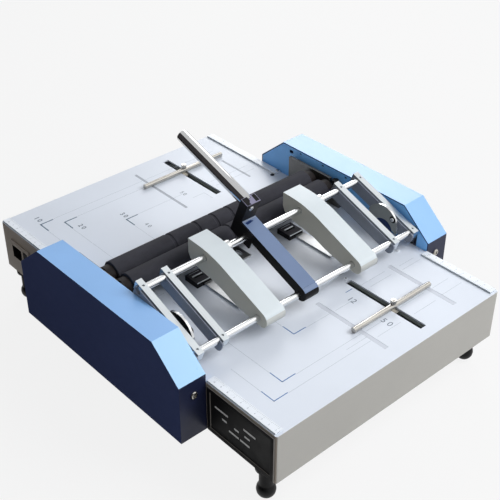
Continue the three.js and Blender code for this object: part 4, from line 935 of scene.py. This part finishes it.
# Handle tube: closed foot in the socket, open and rounded at its end
TUBE_TILT = math.radians(18.8)
TUBE_PLACE = (-11, -24, 199.5)
TUBE = [
    (-6, 0), (-6, 7.5), (113.4, 7.5), (114.3, 7.2), (114.6, 6.8), (114.4, 6.3), (113.8, 6), (-3, 6),
    (-3, 0),
]
tube_matrix = shifted(*TUBE_PLACE) @ facing((0, math.cos(TUBE_TILT), math.sin(TUBE_TILT)))
add_object("handle_tube_bar", moved(lathe(TUBE), tube_matrix), "chrome", "lever",
           ["handle_tube"])

# Fold rollers: sleeves with turned grooves at these places
ROLLER_YS = {"front": 11.5, "rear": 41.5}
ROLLER_Z = 129
ROLLER_RADIUS = 14.85
BORE_RADIUS = 9.3
ROLLER_REACH = 150
ROLLER_ROUNDING = 0.6
ROLLER_SEGMENTS = 96
GROOVE_RADIUS = ROLLER_RADIUS - 1.1
GROOVE_FLOOR = 1.3
GROOVE_REACH = 2.4
GROOVES = {"rear": (-68, -30, -4, 20), "front": (-56, -6)}
SLEEVE_END = [
    (ROLLER_REACH - ROLLER_ROUNDING, ROLLER_RADIUS), (ROLLER_REACH, ROLLER_RADIUS - ROLLER_ROUNDING),
    (ROLLER_REACH, BORE_RADIUS),
]
for name, y in ROLLER_YS.items():
    profile = [(-along, radius) for along, radius in SLEEVE_END[::-1]]
    for x in GROOVES[name]:
        profile += [(x - GROOVE_REACH, ROLLER_RADIUS), (x - GROOVE_FLOOR, GROOVE_RADIUS),
                    (x + GROOVE_FLOOR, GROOVE_RADIUS), (x + GROOVE_REACH, ROLLER_RADIUS)]
    profile += [*SLEEVE_END, (-ROLLER_REACH, BORE_RADIUS)]
    sleeve = moved(lathe(profile, ROLLER_SEGMENTS), shifted(0, y, ROLLER_Z))
    add_object(f"{name}_roller_sleeve", sleeve, "roller_rubber", f"{name}_roller",
               [f"{name}_roller_rubber"])
    refined(f"{name}_roller_shaft", "dark_steel", edge=0.3)

# Pale plates under the gauge slots, seen through them, then the gauges and the nip knobs
SLOT_PLATES = {"front": (65.5, 74, -234, -118), "rear": (80.5, 89, 117, 233)}
SLOT_PLATE_BOTTOM = 98.2
SLOT_PLATE_TOP = 99
for end, (x0, x1, y0, y1) in SLOT_PLATES.items():
    plate = Sink()
    plate.box((x0, y0, SLOT_PLATE_BOTTOM), (x1, y1, SLOT_PLATE_TOP))
    add_object(f"{end}_slot_plate", plate.mesh("plate"), "slot_plate", "base")
for end in SLOT_PLATES:
    refined(f"{end}_gauge_bar", "nickel", edge=0.4)
    refined(f"{end}_gauge_nut", "nickel", edge=0.25)
for side in SIDES:
    refined(f"{side}_nip_knob", "black_plastic", edge=0.25)


# Floor, world, cards and lamps, in metres
FLOOR_SIZE = 6
FLOOR_WHITE = 0.85
FLOOR_GREY = (0.5, 0.5, 0.5, 1)
WHITE = (1, 1, 1, 1)
SKY_LIGHT = (0.93, 0.96, 1, 1)
SKY_MIDDLE = 0.38
SKY_SLOPE = 0.18
SKY_SEEN = 0.91
KEY_PLACE = (0.85, -1.0, 1.35)
KEY_TARGET = (0, 0, 0.1)
KEY_LIGHT = (1, 1, 0.98, 1)
KEY_GLOW = 1.5
FLOOR_CARD_CORNERS = [(-3, -2, 0.002), (-0.21, -2, 0.002), (-0.21, 3, 0.002), (-3, 3, 0.002)]
WALL_CARD_CORNERS = [(-0.7, -1.2, 0), (-0.7, 1.8, 0), (-0.7, 1.8, 1.75), (-0.7, -1.2, 1.75)]


def seen_or_mirrored(s):
    light = s.add("ShaderNodeLightPath").outputs
    seen = s.add("ShaderNodeMath", {0: light["Is Camera Ray"], 1: light["Is Glossy Ray"]},
                 operation="MAXIMUM")
    through = s.add("ShaderNodeMath", {0: seen.outputs[0], 1: light["Is Transmission Ray"]},
                    operation="MAXIMUM")
    return through.outputs[0]


def make_floor():
    s = Shading("floor")
    diffuse = s.add("ShaderNodeBsdfDiffuse", {"Color": FLOOR_GREY})
    glow = s.add("ShaderNodeEmission", {"Color": WHITE, "Strength": 1})
    share = s.add("ShaderNodeMath", {0: seen_or_mirrored(s), 1: FLOOR_WHITE}, operation="MULTIPLY")
    mix = s.add("ShaderNodeMixShader", {0: share.outputs[0], 1: diffuse.outputs[0], 2: glow.outputs[0]})
    s.tree.links.new(mix.outputs[0], s.output.inputs["Surface"])
    form = bmesh.new()
    bmesh.ops.create_grid(form, x_segments=1, y_segments=1, size=FLOOR_SIZE)
    mesh = to_mesh(form, "floor")
    mesh.materials.append(s.material)
    floor = bpy.data.objects.new("floor", mesh)
    scene.collection.objects.link(floor)


class Sky(Shading):
    def __init__(self, name):
        scene.world = bpy.data.worlds.new(name)
        scene.world.use_nodes = True
        self.tree = scene.world.node_tree
        self.tree.nodes.clear()
        self.output = self.add("ShaderNodeOutputWorld")


# White all round as seen and mirrored; as light, softer from the left than from the right
def make_world():
    s = Sky("studio")
    direction = s.add("ShaderNodeTexCoord").outputs["Generated"]
    across = s.add("ShaderNodeSeparateXYZ", {"Vector": direction}).outputs["X"]
    level = s.ranged(across, SKY_MIDDLE - SKY_SLOPE, SKY_MIDDLE + SKY_SLOPE, low=-1, high=1)
    around = s.add("ShaderNodeBackground", {"Color": SKY_LIGHT, "Strength": level})
    white = s.add("ShaderNodeBackground", {"Color": WHITE, "Strength": SKY_SEEN})
    mix = s.add("ShaderNodeMixShader", {0: seen_or_mirrored(s), 1: around.outputs[0], 2: white.outputs[0]})
    s.tree.links.new(mix.outputs[0], s.output.inputs["Surface"])


def turned_to(place, target):
    return (Vector(target) - Vector(place)).to_track_quat("-Z", "Y")


def make_lamp(name, place, target, size, energy, mirrored=False):
    data = bpy.data.lights.new(name, "AREA")
    data.shape = "DISK"
    data.size = size
    data.energy = energy
    lamp = bpy.data.objects.new(name, data)
    scene.collection.objects.link(lamp)
    lamp.location = place
    lamp.rotation_mode = "QUATERNION"
    lamp.rotation_quaternion = turned_to(place, target)
    lamp.visible_glossy = mirrored


# Studio cards, seen in shiny surfaces only
def make_card(name, colour, corners, glow=0):
    s = Shading(name)
    if glow:
        paper = s.add("ShaderNodeEmission", {"Color": colour, "Strength": glow})
    else:
        paper = s.add("ShaderNodeBsdfDiffuse", {"Color": colour})
    s.tree.links.new(paper.outputs[0], s.output.inputs["Surface"])
    form = bmesh.new()
    form.faces.new([form.verts.new(corner) for corner in corners])
    mesh = to_mesh(form, name)
    mesh.materials.append(s.material)
    card = bpy.data.objects.new(name, mesh)
    scene.collection.objects.link(card)
    card.visible_camera = False
    card.visible_diffuse = False
    card.visible_shadow = False
    card.visible_transmission = False


def square_corners(middle, target, size):
    turn = turned_to(middle, target)
    half = size / 2
    corners = [(-half, -half, 0), (half, -half, 0), (half, half, 0), (-half, half, 0)]
    return [Vector(middle) + turn @ Vector(corner) for corner in corners]


make_floor()
make_world()
make_card("left_floor_card", shown(16, 16, 17), FLOOR_CARD_CORNERS)
make_card("left_wall_card", shown(74, 70, 71), WALL_CARD_CORNERS)
make_card("key_card", KEY_LIGHT, square_corners(KEY_PLACE, KEY_TARGET, size=1.5), KEY_GLOW)
make_lamp("key_lamp", KEY_PLACE, KEY_TARGET, size=1.3, energy=26)
make_lamp("side_lamp", (1.2, 1.05, 1.0), (0, 0, 0.15), size=0.9, energy=9, mirrored=True)
make_lamp("fill_lamp", (-1.0, -1.3, 0.8), (0, 0, 0.12), size=1.2, energy=4.5)

scene.view_settings.view_transform = "Standard"
